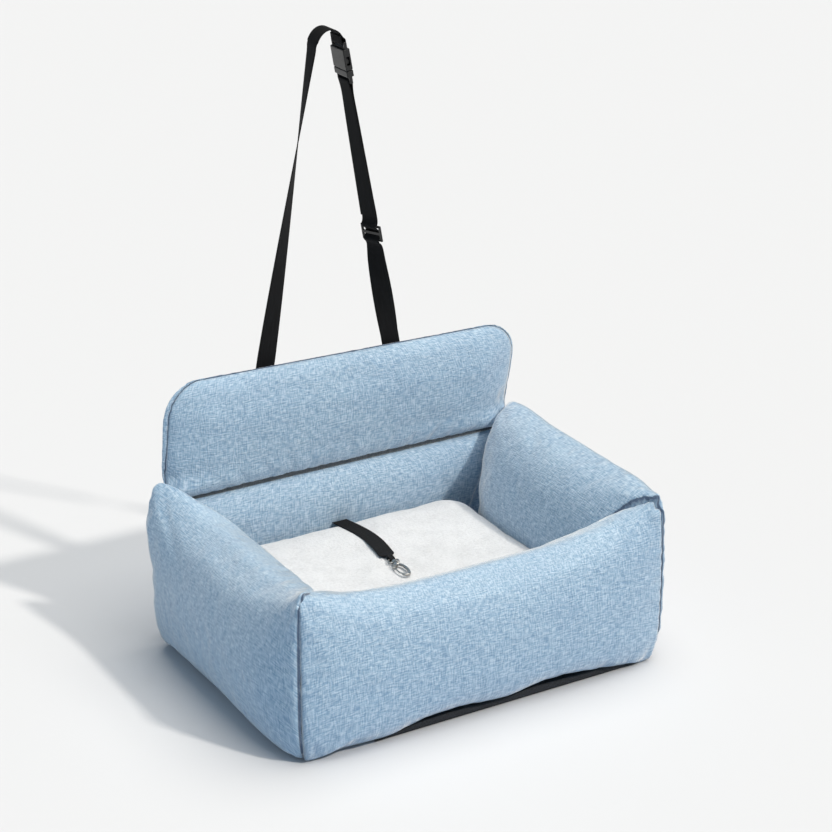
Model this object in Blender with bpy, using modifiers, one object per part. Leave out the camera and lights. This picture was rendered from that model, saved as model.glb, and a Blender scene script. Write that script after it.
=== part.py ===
"""Dog car bed: a box of stuffed bolsters round a raised base and a plush pad, with a backrest flap,
a headrest strap with a side-release buckle, and a short tether with a trigger hook.
Metres, +Z up. The front faces -Y, and the origin is on the floor under the middle of the bed."""

from math import atan2, cos, pi, radians, sin

import bmesh
import bpy
from mathutils import Matrix, Vector

# Bed, between the seams of its corners
BED_LENGTH = 0.600
FRONT_SEAM_Y = -0.235
BACK_FACE_Y = 0.185
CORNER_HEIGHT = 0.258
CLOTH = 0.0014
GAP = 0.0003
FILL_GAP = 0.0008

# Bolsters: thickness at the foot, outward swell, sag of the top, and heights of the widest parts
BOLSTER_THICKNESS = 0.098
BOLSTER_RIDGE_IN = 0.012
FRONT_SWELL = 0.011
SIDE_SWELL = 0.022
END_SWELL = 0.80
FRONT_SAG = 0.026
SIDE_SAG = 0.012
BOLSTER_END_ROUND = 0.060
INNER_WIDEST_Z = 0.030
INNER_POWER = 1.75
INNER_FOOT_POWER = 7.0
OUTER_WIDEST_Z = 0.120
OUTER_POWER = 2.5
OUTER_FOOT_POWER = 2.6
END_DRAW = 0.18
END_START = 0.80
FOOT_FLAT = 0.0005
ARCH_RISE = 0.024
ARCH_CENTRE_X = 0.030
ARCH_HALF_SPAN = 0.190

# Back wall and the flap that stands on it
WALL_THICKNESS = 0.040
WALL_SHORT = 0.010
CREASE_Z = 0.221
FLAP_HEIGHT = 0.181
FLAP_THICKNESS = 0.040
FLAP_TOP_RADIUS = 0.058
FLAP_FOOT_RADIUS = 0.012
CUSHION_EDGE = 0.016
CUSHION_SWELL = 0.0035
PIPING_OUT = 0.0117
PIPING_RADIUS = 0.0040
SLIT_LENGTH = 0.180
SLIT_WIDTH = 0.0012

# Base and pad
BASE_BOTTOM_Z = 0.0115
BASE_TOP_Z = 0.0860
BASE_PANEL = 0.0020
BASE_ROUNDING = 0.006
PAD_TOP_Z = 0.1280
PAD_HOLLOW = 0.0075
PAD_EDGE_GAP = 0.006
PAD_CORNER_RADIUS = 0.045
PAD_SIDE_IN = 0.0955
PAD_FRONT_IN = 0.0955
PAD_EDGE = 0.018
PAD_SWELL = 0.004

# Strap: two webbings, from the back of the flap to the buckle beside the peak
WEBBING_WIDTH = 0.030
WEBBING = 0.0015
STRAP_Y = 0.2270
ANCHOR_Z = 0.372
LEFT_ANCHOR_X = -0.103
RIGHT_ANCHOR_X = 0.115
LEG_LEAN = radians(10)
PIVOT_BEHIND = 0.004
PATCH_LENGTH = 0.045
PEAK_START_X = -0.0150
PEAK_RISE = 0.032
PEAK_Z = 0.877
PEAK_END_TURN = radians(36)
TWIST_START_Z = 0.400
TWIST_STOP = 0.026
TAIL_LENGTH = 0.012
LAYER_OUT = 0.0012

# Buckle
JOIN_BELOW_PEAK = 0.061
BUCKLE_WIDTH = 0.0390
BUCKLE_THICKNESS = 0.0110
BUCKLE_WALL = 0.0022
SOCKET_LENGTH = 0.0420
PLUG_LENGTH = 0.0200
BAR_FRAME = 0.0100
BAR_RADIUS = 0.0022
SLOT_LENGTH = 0.0325
SLOT_WIDTH = 0.0085
MOUTH_DEPTH = 0.0260
FORK_THICKNESS = 0.0060
WINDOW_HEIGHT = 0.0056
WINDOW_LENGTH = 0.0130
WINDOW_Z = 0.0140
PRONG_LENGTH = 0.0240
PRONG_WIDTH = 0.0036
BARB_WIDTH = 0.0034
BARB_Z = 0.0090
GUIDE_WIDTH = 0.0040
GUIDE_SHORT = 0.0030
GUIDE_POINT = 0.0030
BARB_SLOPE = 0.0015
BARB_LENGTH = 0.0060
BARB_TAPER = 0.0030
FORK_LAP = 0.0020
FRAME_LAP = 0.0040
BAR_LAP = 0.0020
BODY_EDGE = 0.0015
FRAME_EDGE = 0.0010
FIT = 0.0004

# Slider
GLIDE_Z = 0.562
GLIDE_TURN = radians(108)
GLIDE_LENGTH = 0.0250
GLIDE_THICKNESS = 0.0030
GLIDE_BAR = 0.0040
GLIDE_SLOT = 0.0075
GLIDE_BUMP = 0.0031
GLIDE_STILL = 0.015
GLIDE_RUN = 0.022
GLIDE_WAVE = 0.0125
FOLD_RUN = 0.020
TAIL_GAP = 0.004

# Tether and hook
TETHER_WIDTH = 0.025
TETHER_BOW = 0.010
TETHER_ROOT_X = -0.006
TETHER_ROOT_Z = 0.1315
TETHER_LIFT = 0.0014
TETHER_END = Vector((-0.0055, 0.0215, 0.1330))
TETHER_STRAIGHT = 0.004
TETHER_STEPS = 7
TAPER_END = 0.020
TAPER_START = 0.009
FOLD_WIDTH = 0.0085
HOOK_YAW = radians(6)
EYE_WIRE = 0.0013
EYE_HALF = 0.0075
EYE_LENGTH = 0.0095
EYE_CORNER = 0.0030
COLLAR_RADIUS = 0.0042
COLLAR_LENGTH = 0.0055
STEM_RADIUS = 0.0016
HEAD_RADIUS = 0.0027
HEAD_LENGTH = 0.0016
NECK = 0.0045
NECK_RADIUS = 0.0034
RING_HALF = 0.0078
RING_REACH = 0.0185
RING_WIRE = 0.0021
HOOK_OPEN_START = radians(17)
HOOK_OPEN_END = radians(138)
HOOK_PIVOT = radians(34)
CHEEK = 0.0010
CHEEK_Z = 0.0020
CHEEK_RADIUS = 0.0034
PIN_RADIUS = 0.0008
KNUCKLE_RADIUS = 0.0019
GATE_WIRE = 0.0011
GATE_CLEAR = radians(4.5)
GATE_TUCK = 0.0011
GATE_STEPS = 7
BOW_STEPS = 22
THUMB = (0.0050, 0.0030, 0.0024)
THUMB_OUT = 0.0035
THUMB_AHEAD = 0.0045
THUMB_EDGE = 0.0006

# Places worked out from the sizes above
PAD_BOTTOM_Z = BASE_TOP_Z + GAP
FLAP_LENGTH = BED_LENGTH
WALL_LENGTH = BED_LENGTH - 2 * WALL_SHORT
WALL_MIDDLE_Y = BACK_FACE_Y + WALL_THICKNESS / 2
HINGE_Y = WALL_MIDDLE_Y + PIPING_OUT
PATCH = 2 * (STRAP_Y - BACK_FACE_Y - FLAP_THICKNESS - GAP)
TETHER_ROOT = Vector((TETHER_ROOT_X, BACK_FACE_Y - GAP - WEBBING / 2, TETHER_ROOT_Z))
FOLD_RADIUS = EYE_WIRE + GAP + WEBBING / 2
UP = Vector((0, 0, 1))
LEG_UP = Vector((-sin(LEG_LEAN), 0, cos(LEG_LEAN)))
LEG_OUT = Vector((cos(LEG_LEAN), 0, sin(LEG_LEAN)))
PEAK_START_Z = PEAK_Z - PEAK_RISE
JOIN_Z = PEAK_Z - JOIN_BELOW_PEAK
TWIST_STOP_Z = JOIN_Z - TWIST_STOP
LEFT_LEAN = atan2(PEAK_START_X - LEFT_ANCHOR_X, PEAK_START_Z - ANCHOR_Z)
STRAP_PIVOT = Vector((0, STRAP_Y + PIVOT_BEHIND, ANCHOR_Z + GAP))
JOIN_HEIGHT = (JOIN_Z - ANCHOR_Z) / LEG_UP.z
SOCKET_BAR = JOIN_HEIGHT + SOCKET_LENGTH - BAR_RADIUS
PLUG_BAR = JOIN_HEIGHT - GAP - PLUG_LENGTH + BAR_RADIUS
HOOK_AHEAD = Vector((-sin(HOOK_YAW), -cos(HOOK_YAW), 0))
HOOK_ACROSS = Vector((-cos(HOOK_YAW), sin(HOOK_YAW), 0))

# Facets
ROUND = 20
SIDE_STEPS = 12
FRONT_STEPS = 24
EDGE = 40
EDGE_STEPS = 6
INWARD = (0.45, 0.85)
LEFT_STEPS = 12
PEAK_STEPS = 9
LOWER_STEPS = 9
DOUBLED_STEPS = 5
FOLD_STEPS = 6

for old in list(bpy.data.objects):
    bpy.data.objects.remove(old, do_unlink=True)
PARTS = bpy.data.collections.new("dog_car_bed")
CUTTERS = bpy.data.collections.new("cutters")
bpy.context.scene.collection.children.link(PARTS)
bpy.context.scene.collection.children.link(CUTTERS)


def material(name, colour, roughness, metallic=0.0):
    made = bpy.data.materials.new(name)
    made.use_nodes = True
    surface = made.node_tree.nodes["Principled BSDF"]
    surface.inputs["Base Color"].default_value = (*colour, 1)
    surface.inputs["Roughness"].default_value = roughness
    surface.inputs["Metallic"].default_value = metallic
    made.diffuse_color = (*colour, 1)
    return made


BLUE = material("blue_linen", (0.30, 0.43, 0.56), 0.85)
FIBRE = material("fibre_fill", (0.86, 0.86, 0.84), 0.95)
FOAM = material("base_foam", (0.80, 0.79, 0.72), 0.95)
DARK = material("underside_cloth", (0.03, 0.04, 0.05), 0.80)
PLUSH = material("white_plush", (0.82, 0.83, 0.84), 0.95)
BLACK = material("black_webbing", (0.010, 0.010, 0.012), 0.70)
PLASTIC = material("black_plastic", (0.012, 0.012, 0.014), 0.35)
STEEL = material("nickel", (0.45, 0.45, 0.46), 0.28, 1.0)


def add(name, mesh, surface, origin=None):
    """An object of the mesh, with its origin moved to a point such as a joint's axis."""
    if origin is not None:
        mesh.transform(Matrix.Translation(-Vector(origin)))
    mesh.materials.append(surface)
    made = bpy.data.objects.new(name, mesh)
    PARTS.objects.link(made)
    if origin is not None:
        made.location = origin
    return made


def finished(name, bm, smooth=True):
    bmesh.ops.recalc_face_normals(bm, faces=bm.faces)
    mesh = bpy.data.meshes.new(name)
    bm.to_mesh(mesh)
    bm.free()
    if smooth:
        mesh.shade_smooth()
        mesh.set_sharp_from_angle(angle=radians(40))
    return mesh


def skin(name, rings, closed=False, start=None, end=None):
    """A loft through rings of points, closed on itself or ended by points."""
    bm = bmesh.new()
    rows = [[bm.verts.new(point) for point in ring] for ring in rings]
    count = len(rows[0])
    pairs = list(zip(rows, rows[1:]))
    if closed:
        pairs.append((rows[-1], rows[0]))
    for first, second in pairs:
        for i in range(count):
            j = (i + 1) % count
            bm.faces.new((first[i], first[j], second[j], second[i]))
    for tip, row in ((start, rows[0]), (end, rows[-1])):
        if tip is not None:
            centre = bm.verts.new(tip)
            for i in range(count):
                bm.faces.new((row[i], row[(i + 1) % count], centre))
    return finished(name, bm)


def signed_power(value, power):
    return abs(value) ** power * (1 if value >= 0 else -1)


def eased(value):
    value = min(max(value, 0), 1)
    return value * value * (3 - 2 * value)


def section(index, top, foot, swell, thickness, inset):
    """One point of a bolster's cross-section, as depth in from the seam plane and height.
    The inner side is a slope that swells, the outer side is rounder, and the foot is flat."""
    turn = 2 * pi * index / ROUND
    across, up = cos(turn), sin(turn)
    if across > 0:
        widest, power = OUTER_WIDEST_Z, OUTER_POWER if up >= 0 else OUTER_FOOT_POWER
        reach = BOLSTER_RIDGE_IN + swell - inset
    else:
        widest, power = INNER_WIDEST_Z, INNER_POWER if up >= 0 else INNER_FOOT_POWER
        reach = thickness - BOLSTER_RIDGE_IN - inset
    rise = (top - widest if up >= 0 else widest - foot) - inset
    depth = BOLSTER_RIDGE_IN - reach * signed_power(across, 2 / power)
    height = widest + rise * signed_power(up, 2 / power)
    return depth, max(height - FOOT_FLAT, foot + inset)


def crown(place, sag):
    """Height of a bolster's top, sagging between its corners, for a place from -1 to 1."""
    return CORNER_HEIGHT - sag * (1 - abs(place) ** 3)


def arch(x):
    """Height of the front bolster's foot, which lifts off the floor in the middle."""
    away = min(abs(x - ARCH_CENTRE_X) / ARCH_HALF_SPAN, 1)
    return ARCH_RISE * (1 + cos(pi * away)) / 2


def front_ring(place, inset):
    swell = FRONT_SWELL * (1 - place**4)
    foot, top = arch(place * BED_LENGTH / 2), crown(place, FRONT_SAG)
    ring = []
    for i in range(ROUND):
        depth, height = section(i, top, foot, swell, BOLSTER_THICKNESS, inset)
        outer, _ = section(i, top, foot, swell, BOLSTER_THICKNESS, 0)
        mitred = outer + (depth - outer) * place**6
        half = BED_LENGTH / 2 - mitred - GAP
        ring.append((place * half, FRONT_SEAM_Y + depth, height))
    return ring


def side_ring(side, along, inset):
    """A ring of a side bolster, from its mitre at 0 to its drawn-in back end at 1."""
    place = 2 * along - 1
    fade = place**4 if place < 0 else (1 - END_SWELL) * place**6
    swell = SIDE_SWELL * (1 - fade)
    thickness = BOLSTER_THICKNESS * (1 - END_DRAW * eased((along - END_START) / (1 - END_START)))
    ring = []
    for i in range(ROUND):
        depth, height = section(i, crown(place, SIDE_SAG), 0, swell, thickness, inset)
        rounding = BOLSTER_END_ROUND * (max(depth, 0) / BOLSTER_THICKNESS) ** 2
        first = FRONT_SEAM_Y + depth + GAP
        last = BACK_FACE_Y - GAP - rounding - inset
        y = first + along * (last - first)
        ring.append((side * (BED_LENGTH / 2 - depth), y, height))
    return ring


def middle(ring):
    return sum((Vector(point) for point in ring), Vector()) / len(ring)


def front_bolster():
    places = [2 * k / FRONT_STEPS - 1 for k in range(FRONT_STEPS + 1)]
    rings = [front_ring(place, 0) for place in places]
    rings += [front_ring(place, CLOTH) for place in reversed(places)]
    add("front_bolster_cover", skin("front_bolster_cover", rings, closed=True), BLUE)
    core = [front_ring(place, CLOTH + FILL_GAP) for place in places]
    mesh = skin("front_bolster_filling", core, start=middle(core[0]), end=middle(core[-1]))
    add("front_bolster_filling", mesh, FIBRE)


def side_bolster(name, side):
    steps = [k / SIDE_STEPS for k in range(SIDE_STEPS + 1)]
    outer = [side_ring(side, step, 0) for step in reversed(steps)]
    inner = [side_ring(side, step, CLOTH) for step in steps]
    tips = middle(outer[0]), middle(inner[-1])
    mesh = skin(name + "_cover", outer + inner, start=tips[0], end=tips[1])
    add(name + "_cover", mesh, BLUE)
    core = [side_ring(side, step, CLOTH + FILL_GAP) for step in steps]
    mesh = skin(name + "_filling", core, start=middle(core[0]), end=middle(core[-1]))
    add(name + "_filling", mesh, FIBRE)


def rounded_outline(half, low, high, low_radius, high_radius, inset):
    """Points round an upright rectangle with round corners, drawn in by an inset: across and up."""
    points = []
    corners = (
        (half, high, high_radius, 0),
        (-half, high, high_radius, pi / 2),
        (-half, low, low_radius, pi),
        (half, low, low_radius, 3 * pi / 2),
    )
    for across, up, radius, first in corners:
        centre_x = across - radius * (1 if across > 0 else -1)
        centre_z = up - radius * (1 if up > low else -1)
        for k in range(EDGE // 4):
            turn = first + (pi / 2) * k / (EDGE // 4 - 1)
            reach = max(radius - inset, 0.0005)
            points.append((centre_x + reach * cos(turn), centre_z + reach * sin(turn)))
    return points


def cushion_rings(outline, thickness, edge, swell, inset):
    """Rings over a flat cushion, from the middle of one face, round the edge, to the other.
    outline takes a distance in from the edge. Each ring is a list of across, up and out."""
    half = thickness / 2 - swell - inset
    rings = []
    for share in INWARD:
        rings.append((share, edge, -half - swell * (1 - share**2)))
    for k in range(EDGE_STEPS + 1):
        turn = pi * k / EDGE_STEPS - pi / 2
        rings.append((1, inset + (edge - inset) * (1 - cos(turn)), half * sin(turn)))
    for share in reversed(INWARD):
        rings.append((share, edge, half + swell * (1 - share**2)))
    made = []
    for share, drawn, out in rings:
        points = outline(drawn)
        centre = sum(p[0] for p in points) / len(points), sum(p[1] for p in points) / len(points)
        made.append(
            [(centre[0] + share * (a - centre[0]), centre[1] + share * (b - centre[1]), out) for a, b in points]
        )
    return made


def slit(name, target, size, centre):
    """Cuts the closing slit, a narrow mouth in the cover's seam."""
    bm = bmesh.new()
    bmesh.ops.create_cube(bm, size=1)
    bmesh.ops.scale(bm, vec=size, verts=bm.verts)
    bmesh.ops.translate(bm, vec=centre, verts=bm.verts)
    mesh = bpy.data.meshes.new(name)
    bm.to_mesh(mesh)
    bm.free()
    cutter = bpy.data.objects.new(name, mesh)
    CUTTERS.objects.link(cutter)
    cutter.hide_render = True
    cutter.display_type = "WIRE"
    join(target, cutter, "DIFFERENCE")


def join(target, other, operation):
    modifier = target.modifiers.new(other.name, "BOOLEAN")
    modifier.operation = operation
    modifier.solver = "EXACT"
    modifier.object = other


def cushion(name, surface, fill, outline, thickness, edge, swell, place, origin=None):
    """A cover with a cloth's thickness and its filling. place turns across, up and out into a point."""

    def layer(inset):
        rings = [[place(*p) for p in ring] for ring in cushion_rings(outline, thickness, edge, swell, inset)]
        return rings, place(*middle_of(outline, thickness, -1, inset)), place(*middle_of(outline, thickness, 1, inset))

    bm = bmesh.new()
    for inset, flipped in ((0, False), (CLOTH, True)):
        rings, start, end = layer(inset)
        mesh = skin(name, rings, start=start, end=end)
        if flipped:
            mesh.flip_normals()
        bm.from_mesh(mesh)
        bpy.data.meshes.remove(mesh)
    mesh = bpy.data.meshes.new(name + "_cover")
    bm.to_mesh(mesh)
    bm.free()
    mesh.shade_smooth()
    cover = add(name + "_cover", mesh, surface, origin)
    rings, start, end = layer(CLOTH + FILL_GAP)
    add(name + "_filling", skin(name + "_filling", rings, start=start, end=end), fill, origin)
    return cover


def middle_of(outline, thickness, side, inset):
    points = outline(0)
    across = sum(p[0] for p in points) / len(points)
    up = sum(p[1] for p in points) / len(points)
    return across, up, side * (thickness / 2 - inset)


def back_wall():
    """The low wall behind the pad, standing on the floor on a flat foot."""

    def outline(inset):
        return rounded_outline(WALL_LENGTH / 2, -FOOT_FLAT, CREASE_Z - GAP, FLAP_FOOT_RADIUS, FLAP_FOOT_RADIUS, inset)

    def place(across, up, out):
        return Vector((across, WALL_MIDDLE_Y + out, max(up, 0)))

    cover = cushion("back_wall", BLUE, FIBRE, outline, WALL_THICKNESS, CUSHION_EDGE, CUSHION_SWELL, place)
    slit("back_wall_slit", cover, (SLIT_LENGTH, SLIT_WIDTH, 4 * CLOTH), (0, WALL_MIDDLE_Y, CLOTH / 2))


def backrest():
    """The flap that stands on the back wall, with its origin on the piping that it folds about."""

    def outline(inset):
        low = CREASE_Z + GAP
        return rounded_outline(FLAP_LENGTH / 2, low, low + FLAP_HEIGHT, FLAP_FOOT_RADIUS, FLAP_TOP_RADIUS, inset)

    def place(across, up, out):
        return Vector((across, WALL_MIDDLE_Y + out, up))

    cover = cushion(
        "backrest", BLUE, FIBRE, outline, FLAP_THICKNESS, CUSHION_EDGE, CUSHION_SWELL, place, (0, HINGE_Y, CREASE_Z)
    )
    slit("backrest_slit", cover, (SLIT_LENGTH, SLIT_WIDTH, 4 * CLOTH), (0, WALL_MIDDLE_Y, CREASE_Z + CLOTH / 2))


def wire(name, points, radius, surface, closed=False, sides=3):
    """A round wire along points, with filled caps."""
    curve = bpy.data.curves.new(name, "CURVE")
    curve.dimensions = "3D"
    curve.bevel_depth = radius
    curve.bevel_resolution = sides
    curve.use_fill_caps = True
    spline = curve.splines.new("POLY")
    spline.points.add(len(points) - 1)
    for spot, point in zip(spline.points, points):
        spot.co = (*point, 1)
    spline.use_cyclic_u = closed
    made = bpy.data.objects.new(name, curve)
    PARTS.objects.link(made)
    curve.materials.append(surface)
    return made


def as_mesh(made):
    """The curve object as a welded mesh object of the same name and place."""
    bpy.context.view_layer.update()
    graph = bpy.context.evaluated_depsgraph_get()
    mesh = bpy.data.meshes.new_from_object(made.evaluated_get(graph))
    bm = bmesh.new()
    bm.from_mesh(mesh)
    bmesh.ops.remove_doubles(bm, verts=bm.verts, dist=0.00001)
    bm.to_mesh(mesh)
    bm.free()
    name, matrix, collection = made.name, made.matrix_world.copy(), made.users_collection[0]
    bpy.data.objects.remove(made, do_unlink=True)
    solid = bpy.data.objects.new(name, mesh)
    solid.matrix_world = matrix
    collection.objects.link(solid)
    return solid


def piping():
    """The welt that closes the back of the crease. The flap folds about its middle."""
    half = FLAP_LENGTH / 2 - FLAP_FOOT_RADIUS - 2 * PIPING_RADIUS
    wire("hinge_piping", [(-half, HINGE_Y, CREASE_Z), (half, HINGE_Y, CREASE_Z)], PIPING_RADIUS, BLUE)


def box(name, size, centre, surface, round_edges=0.0):
    bm = bmesh.new()
    bmesh.ops.create_cube(bm, size=1)
    bmesh.ops.scale(bm, vec=size, verts=bm.verts)
    bmesh.ops.translate(bm, vec=centre, verts=bm.verts)
    mesh = bpy.data.meshes.new(name)
    bm.to_mesh(mesh)
    bm.free()
    made = add(name, mesh, surface)
    if round_edges:
        bevel = made.modifiers.new("rounding", "BEVEL")
        bevel.width = round_edges
        bevel.segments = 2
    return made


def base():
    """The raised floor of the bed: a foam block on a cloth underside."""
    clear = BOLSTER_THICKNESS + GAP
    low_y, high_y = FRONT_SEAM_Y + clear, BACK_FACE_Y - GAP
    size = (BED_LENGTH - 2 * clear, high_y - low_y, BASE_TOP_Z - BASE_BOTTOM_Z)
    centre = (0, (low_y + high_y) / 2, (BASE_TOP_Z + BASE_BOTTOM_Z) / 2)
    box("base_foam", size, centre, FOAM, BASE_ROUNDING)
    centre = (0, centre[1], BASE_BOTTOM_Z - GAP - BASE_PANEL / 2)
    box("underside_panel", (size[0], size[1], BASE_PANEL), centre, DARK)


def pad():
    """The loose plush pad, hollowed where the dog lies."""
    half = BED_LENGTH / 2 - PAD_SIDE_IN
    low_y, high_y = FRONT_SEAM_Y + PAD_FRONT_IN, BACK_FACE_Y - PAD_EDGE_GAP
    middle_z = (PAD_BOTTOM_Z + PAD_TOP_Z) / 2
    depth = high_y - low_y

    def outline(inset):
        return rounded_outline(half, low_y, high_y, PAD_CORNER_RADIUS, PAD_CORNER_RADIUS, inset)

    def place(across, up, out):
        away = (across / half) ** 2 + (2 * (up - low_y) / depth - 1) ** 2
        dip = PAD_HOLLOW * eased(1.15 - away) if out > 0 else 0
        return Vector((across, up, middle_z + out - dip))

    cover = cushion("pad", PLUSH, FIBRE, outline, PAD_TOP_Z - PAD_BOTTOM_Z, PAD_EDGE, PAD_SWELL, place)
    slit("pad_slit", cover, (SLIT_LENGTH, 4 * CLOTH, SLIT_WIDTH), (0, low_y + CLOTH / 2, middle_z))


def ribbon(name, stations, surface, origin=None):
    """Webbing along stations of (point, direction of its width, width)."""
    rings = []
    points = [Vector(station[0]) for station in stations]
    for i, (_, across, width) in enumerate(stations):
        ahead = points[min(i + 1, len(points) - 1)] - points[max(i - 1, 0)]
        ahead.normalize()
        side = Vector(across)
        side = (side - ahead * side.dot(ahead)).normalized()
        out = side.cross(ahead) * WEBBING / 2
        side = side * width / 2
        corners = (side + out, out - side, -side - out, side - out)
        rings.append([points[i] + corner for corner in corners])
    bm = bmesh.new()
    rows = [[bm.verts.new(point) for point in ring] for ring in rings]
    for first, second in zip(rows, rows[1:]):
        for i in range(4):
            j = (i + 1) % 4
            # both broad faces are split along the same diagonal, so a twist doesn't thin the webbing
            if i < 2:
                bm.faces.new((first[i], first[j], second[j]))
                bm.faces.new((first[i], second[j], second[i]))
            else:
                bm.faces.new((first[i], first[j], second[i]))
                bm.faces.new((first[j], second[j], second[i]))
    bm.faces.new(rows[0])
    bm.faces.new(rows[-1])
    return add(name, finished(name, bm), surface, origin)


def level(turn):
    return Vector((cos(turn), sin(turn), 0))


def left_turn(height):
    """How far the left webbing has turned by this height, from flat on the flap to edge on at the peak."""
    return radians(90) * min(max((height - TWIST_START_Z) / (PEAK_Z - TWIST_START_Z), 0), 1)


def right_turn(height):
    """The same for the right webbing, which turns the other way, mostly below the slider."""
    high, low = GLIDE_Z + GLIDE_STILL, GLIDE_Z - GLIDE_STILL
    if height > high:
        share = max(TWIST_STOP_Z - height, 0) / (TWIST_STOP_Z - high)
        return pi / 2 + (GLIDE_TURN - pi / 2) * share
    share = max(low - height, 0) / (low - TWIST_START_Z)
    return GLIDE_TURN + (pi - GLIDE_TURN) * min(share, 1)


def on_leg(height, out=0.0, across=0.0):
    """A point of the right leg: height along it from the anchor, out to the bed's end, across its width."""
    foot = Vector((RIGHT_ANCHOR_X, STRAP_Y, ANCHOR_Z))
    return foot + LEG_UP * height + LEG_OUT * out + Vector((0, across, 0))


def left_strap():
    bar = on_leg(SOCKET_BAR)
    around = WEBBING / 2 + BAR_RADIUS + GAP
    path = []
    for k in range(LEFT_STEPS):
        share = k / LEFT_STEPS
        x = LEFT_ANCHOR_X + share * (PEAK_START_X - LEFT_ANCHOR_X)
        path.append((x, ANCHOR_Z + GAP + share * (PEAK_START_Z - ANCHOR_Z)))
    middle_x, middle_z = (PEAK_START_X + bar.x + around) / 2, PEAK_START_Z
    reach_x, reach_z = (bar.x + around - PEAK_START_X) / 2, PEAK_Z - PEAK_START_Z
    for k in range(PEAK_STEPS):
        turn = pi - (pi - PEAK_END_TURN) * k / (PEAK_STEPS - 1)
        path.append((middle_x + reach_x * cos(turn), middle_z + reach_z * sin(turn)))
    spot = on_leg(SOCKET_BAR + 1.5 * around, around)
    path.append((spot.x, spot.z))
    for k in range(FOLD_STEPS + 1):
        turn = -pi * k / FOLD_STEPS
        spot = on_leg(SOCKET_BAR + around * sin(turn), around * cos(turn))
        path.append((spot.x, spot.z))
    spot = on_leg(SOCKET_BAR + TAIL_LENGTH, -around)
    path.append((spot.x, spot.z))
    stations = []
    for k, (x, z) in enumerate(path):
        turn = left_turn(z) if k < LEFT_STEPS else pi / 2
        stations.append(((x, STRAP_Y, z), level(turn), WEBBING_WIDTH))
    ribbon("left_strap_webbing", stations, BLACK, STRAP_PIVOT)


def right_strap():
    around = WEBBING / 2 + BAR_RADIUS + GAP
    glide = (GLIDE_Z - ANCHOR_Z) / LEG_UP.z
    below, above = glide - GLIDE_RUN, glide + GLIDE_RUN
    low_wave, high_wave = glide - GLIDE_WAVE, glide + GLIDE_WAVE
    turn_low, turn_high = low_wave + GLIDE_BUMP, high_wave - GLIDE_BUMP
    route = [(GAP + k * (below - GAP) / LOWER_STEPS, 0) for k in range(LOWER_STEPS)]
    route += [(below, LAYER_OUT), (low_wave, -GLIDE_BUMP), (turn_low, -GLIDE_BUMP)]
    route += [(glide - GLIDE_BUMP, GLIDE_BUMP), (glide + GLIDE_BUMP, GLIDE_BUMP)]
    route += [(turn_high, -GLIDE_BUMP), (high_wave, -GLIDE_BUMP), (above, LAYER_OUT)]
    top = PLUG_BAR - FOLD_RUN
    doubled = [above + k * (top - above) / DOUBLED_STEPS for k in range(1, DOUBLED_STEPS + 1)]
    route += [(height, LAYER_OUT) for height in doubled]
    for k in range(FOLD_STEPS + 1):
        turn = pi * k / FOLD_STEPS
        route.append((PLUG_BAR + around * sin(turn), around * cos(turn)))
    route += [(height, -LAYER_OUT) for height in reversed(doubled)]
    route.append((above + TAIL_GAP, -LAYER_OUT))
    stations = []
    for height, out in route:
        spot = on_leg(height)
        side = level(right_turn(spot.z))
        stations.append((spot + side.cross(LEG_UP).normalized() * out, side, WEBBING_WIDTH))
    ribbon("right_strap_webbing", stations, BLACK, STRAP_PIVOT)


def patches():
    """The sewn ends of the webbing on the back of the flap, each in line with its leg."""
    legs = {"left_strap_patch": (LEFT_ANCHOR_X, LEFT_LEAN), "right_strap_patch": (RIGHT_ANCHOR_X, -LEG_LEAN)}
    for name, (x, lean) in legs.items():
        made = box(name, (WEBBING_WIDTH, PATCH, PATCH_LENGTH), (0, 0, -PATCH_LENGTH / 2), BLACK)
        made.matrix_world = Matrix.Translation((x, STRAP_Y, ANCHOR_Z)) @ Matrix.Rotation(lean, 4, "Y")


def shape(name, bm):
    """A helper solid, used up when a part is carved from it."""
    made = bpy.data.objects.new(name, finished(name, bm, smooth=False))
    CUTTERS.objects.link(made)
    made.hide_render = True
    made.display_type = "WIRE"
    return made


def block(size, centre, round_edges=0.0):
    bm = bmesh.new()
    bmesh.ops.create_cube(bm, size=1)
    bmesh.ops.scale(bm, vec=size, verts=bm.verts)
    bmesh.ops.translate(bm, vec=centre, verts=bm.verts)
    if round_edges:
        bmesh.ops.bevel(bm, geom=bm.edges, offset=round_edges, segments=2, profile=0.5, affect="EDGES")
    return shape("block", bm)


def drum(radius, length, centre, axis="Z", sides=20):
    bm = bmesh.new()
    bmesh.ops.create_cone(bm, cap_ends=True, segments=sides, radius1=radius, radius2=radius, depth=length)
    across = {"X": "Y", "Y": "X", "Z": "Z"}[axis]
    turn = Matrix.Rotation(0 if axis == "Z" else pi / 2, 4, across)
    bm.transform(Matrix.Translation(centre) @ turn)
    return shape("drum", bm)


def prism(outline, thickness):
    """A flat outline in X and Z, as thick along Y as stated, centred on it."""
    bm = bmesh.new()
    rows = [[bm.verts.new((x, y, z)) for x, z in outline] for y in (-thickness / 2, thickness / 2)]
    bm.faces.new(rows[0])
    bm.faces.new(rows[1])
    for i in range(len(outline)):
        j = (i + 1) % len(outline)
        bm.faces.new((rows[0][i], rows[0][j], rows[1][j], rows[1][i]))
    return shape("prism", bm)


def rod(points, radius, sides=3):
    """A helper wire as a solid."""
    made = as_mesh(wire("rod", points, radius, STEEL, sides=sides))
    PARTS.objects.unlink(made)
    CUTTERS.objects.link(made)
    made.hide_render = True
    made.display_type = "WIRE"
    return made


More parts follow.
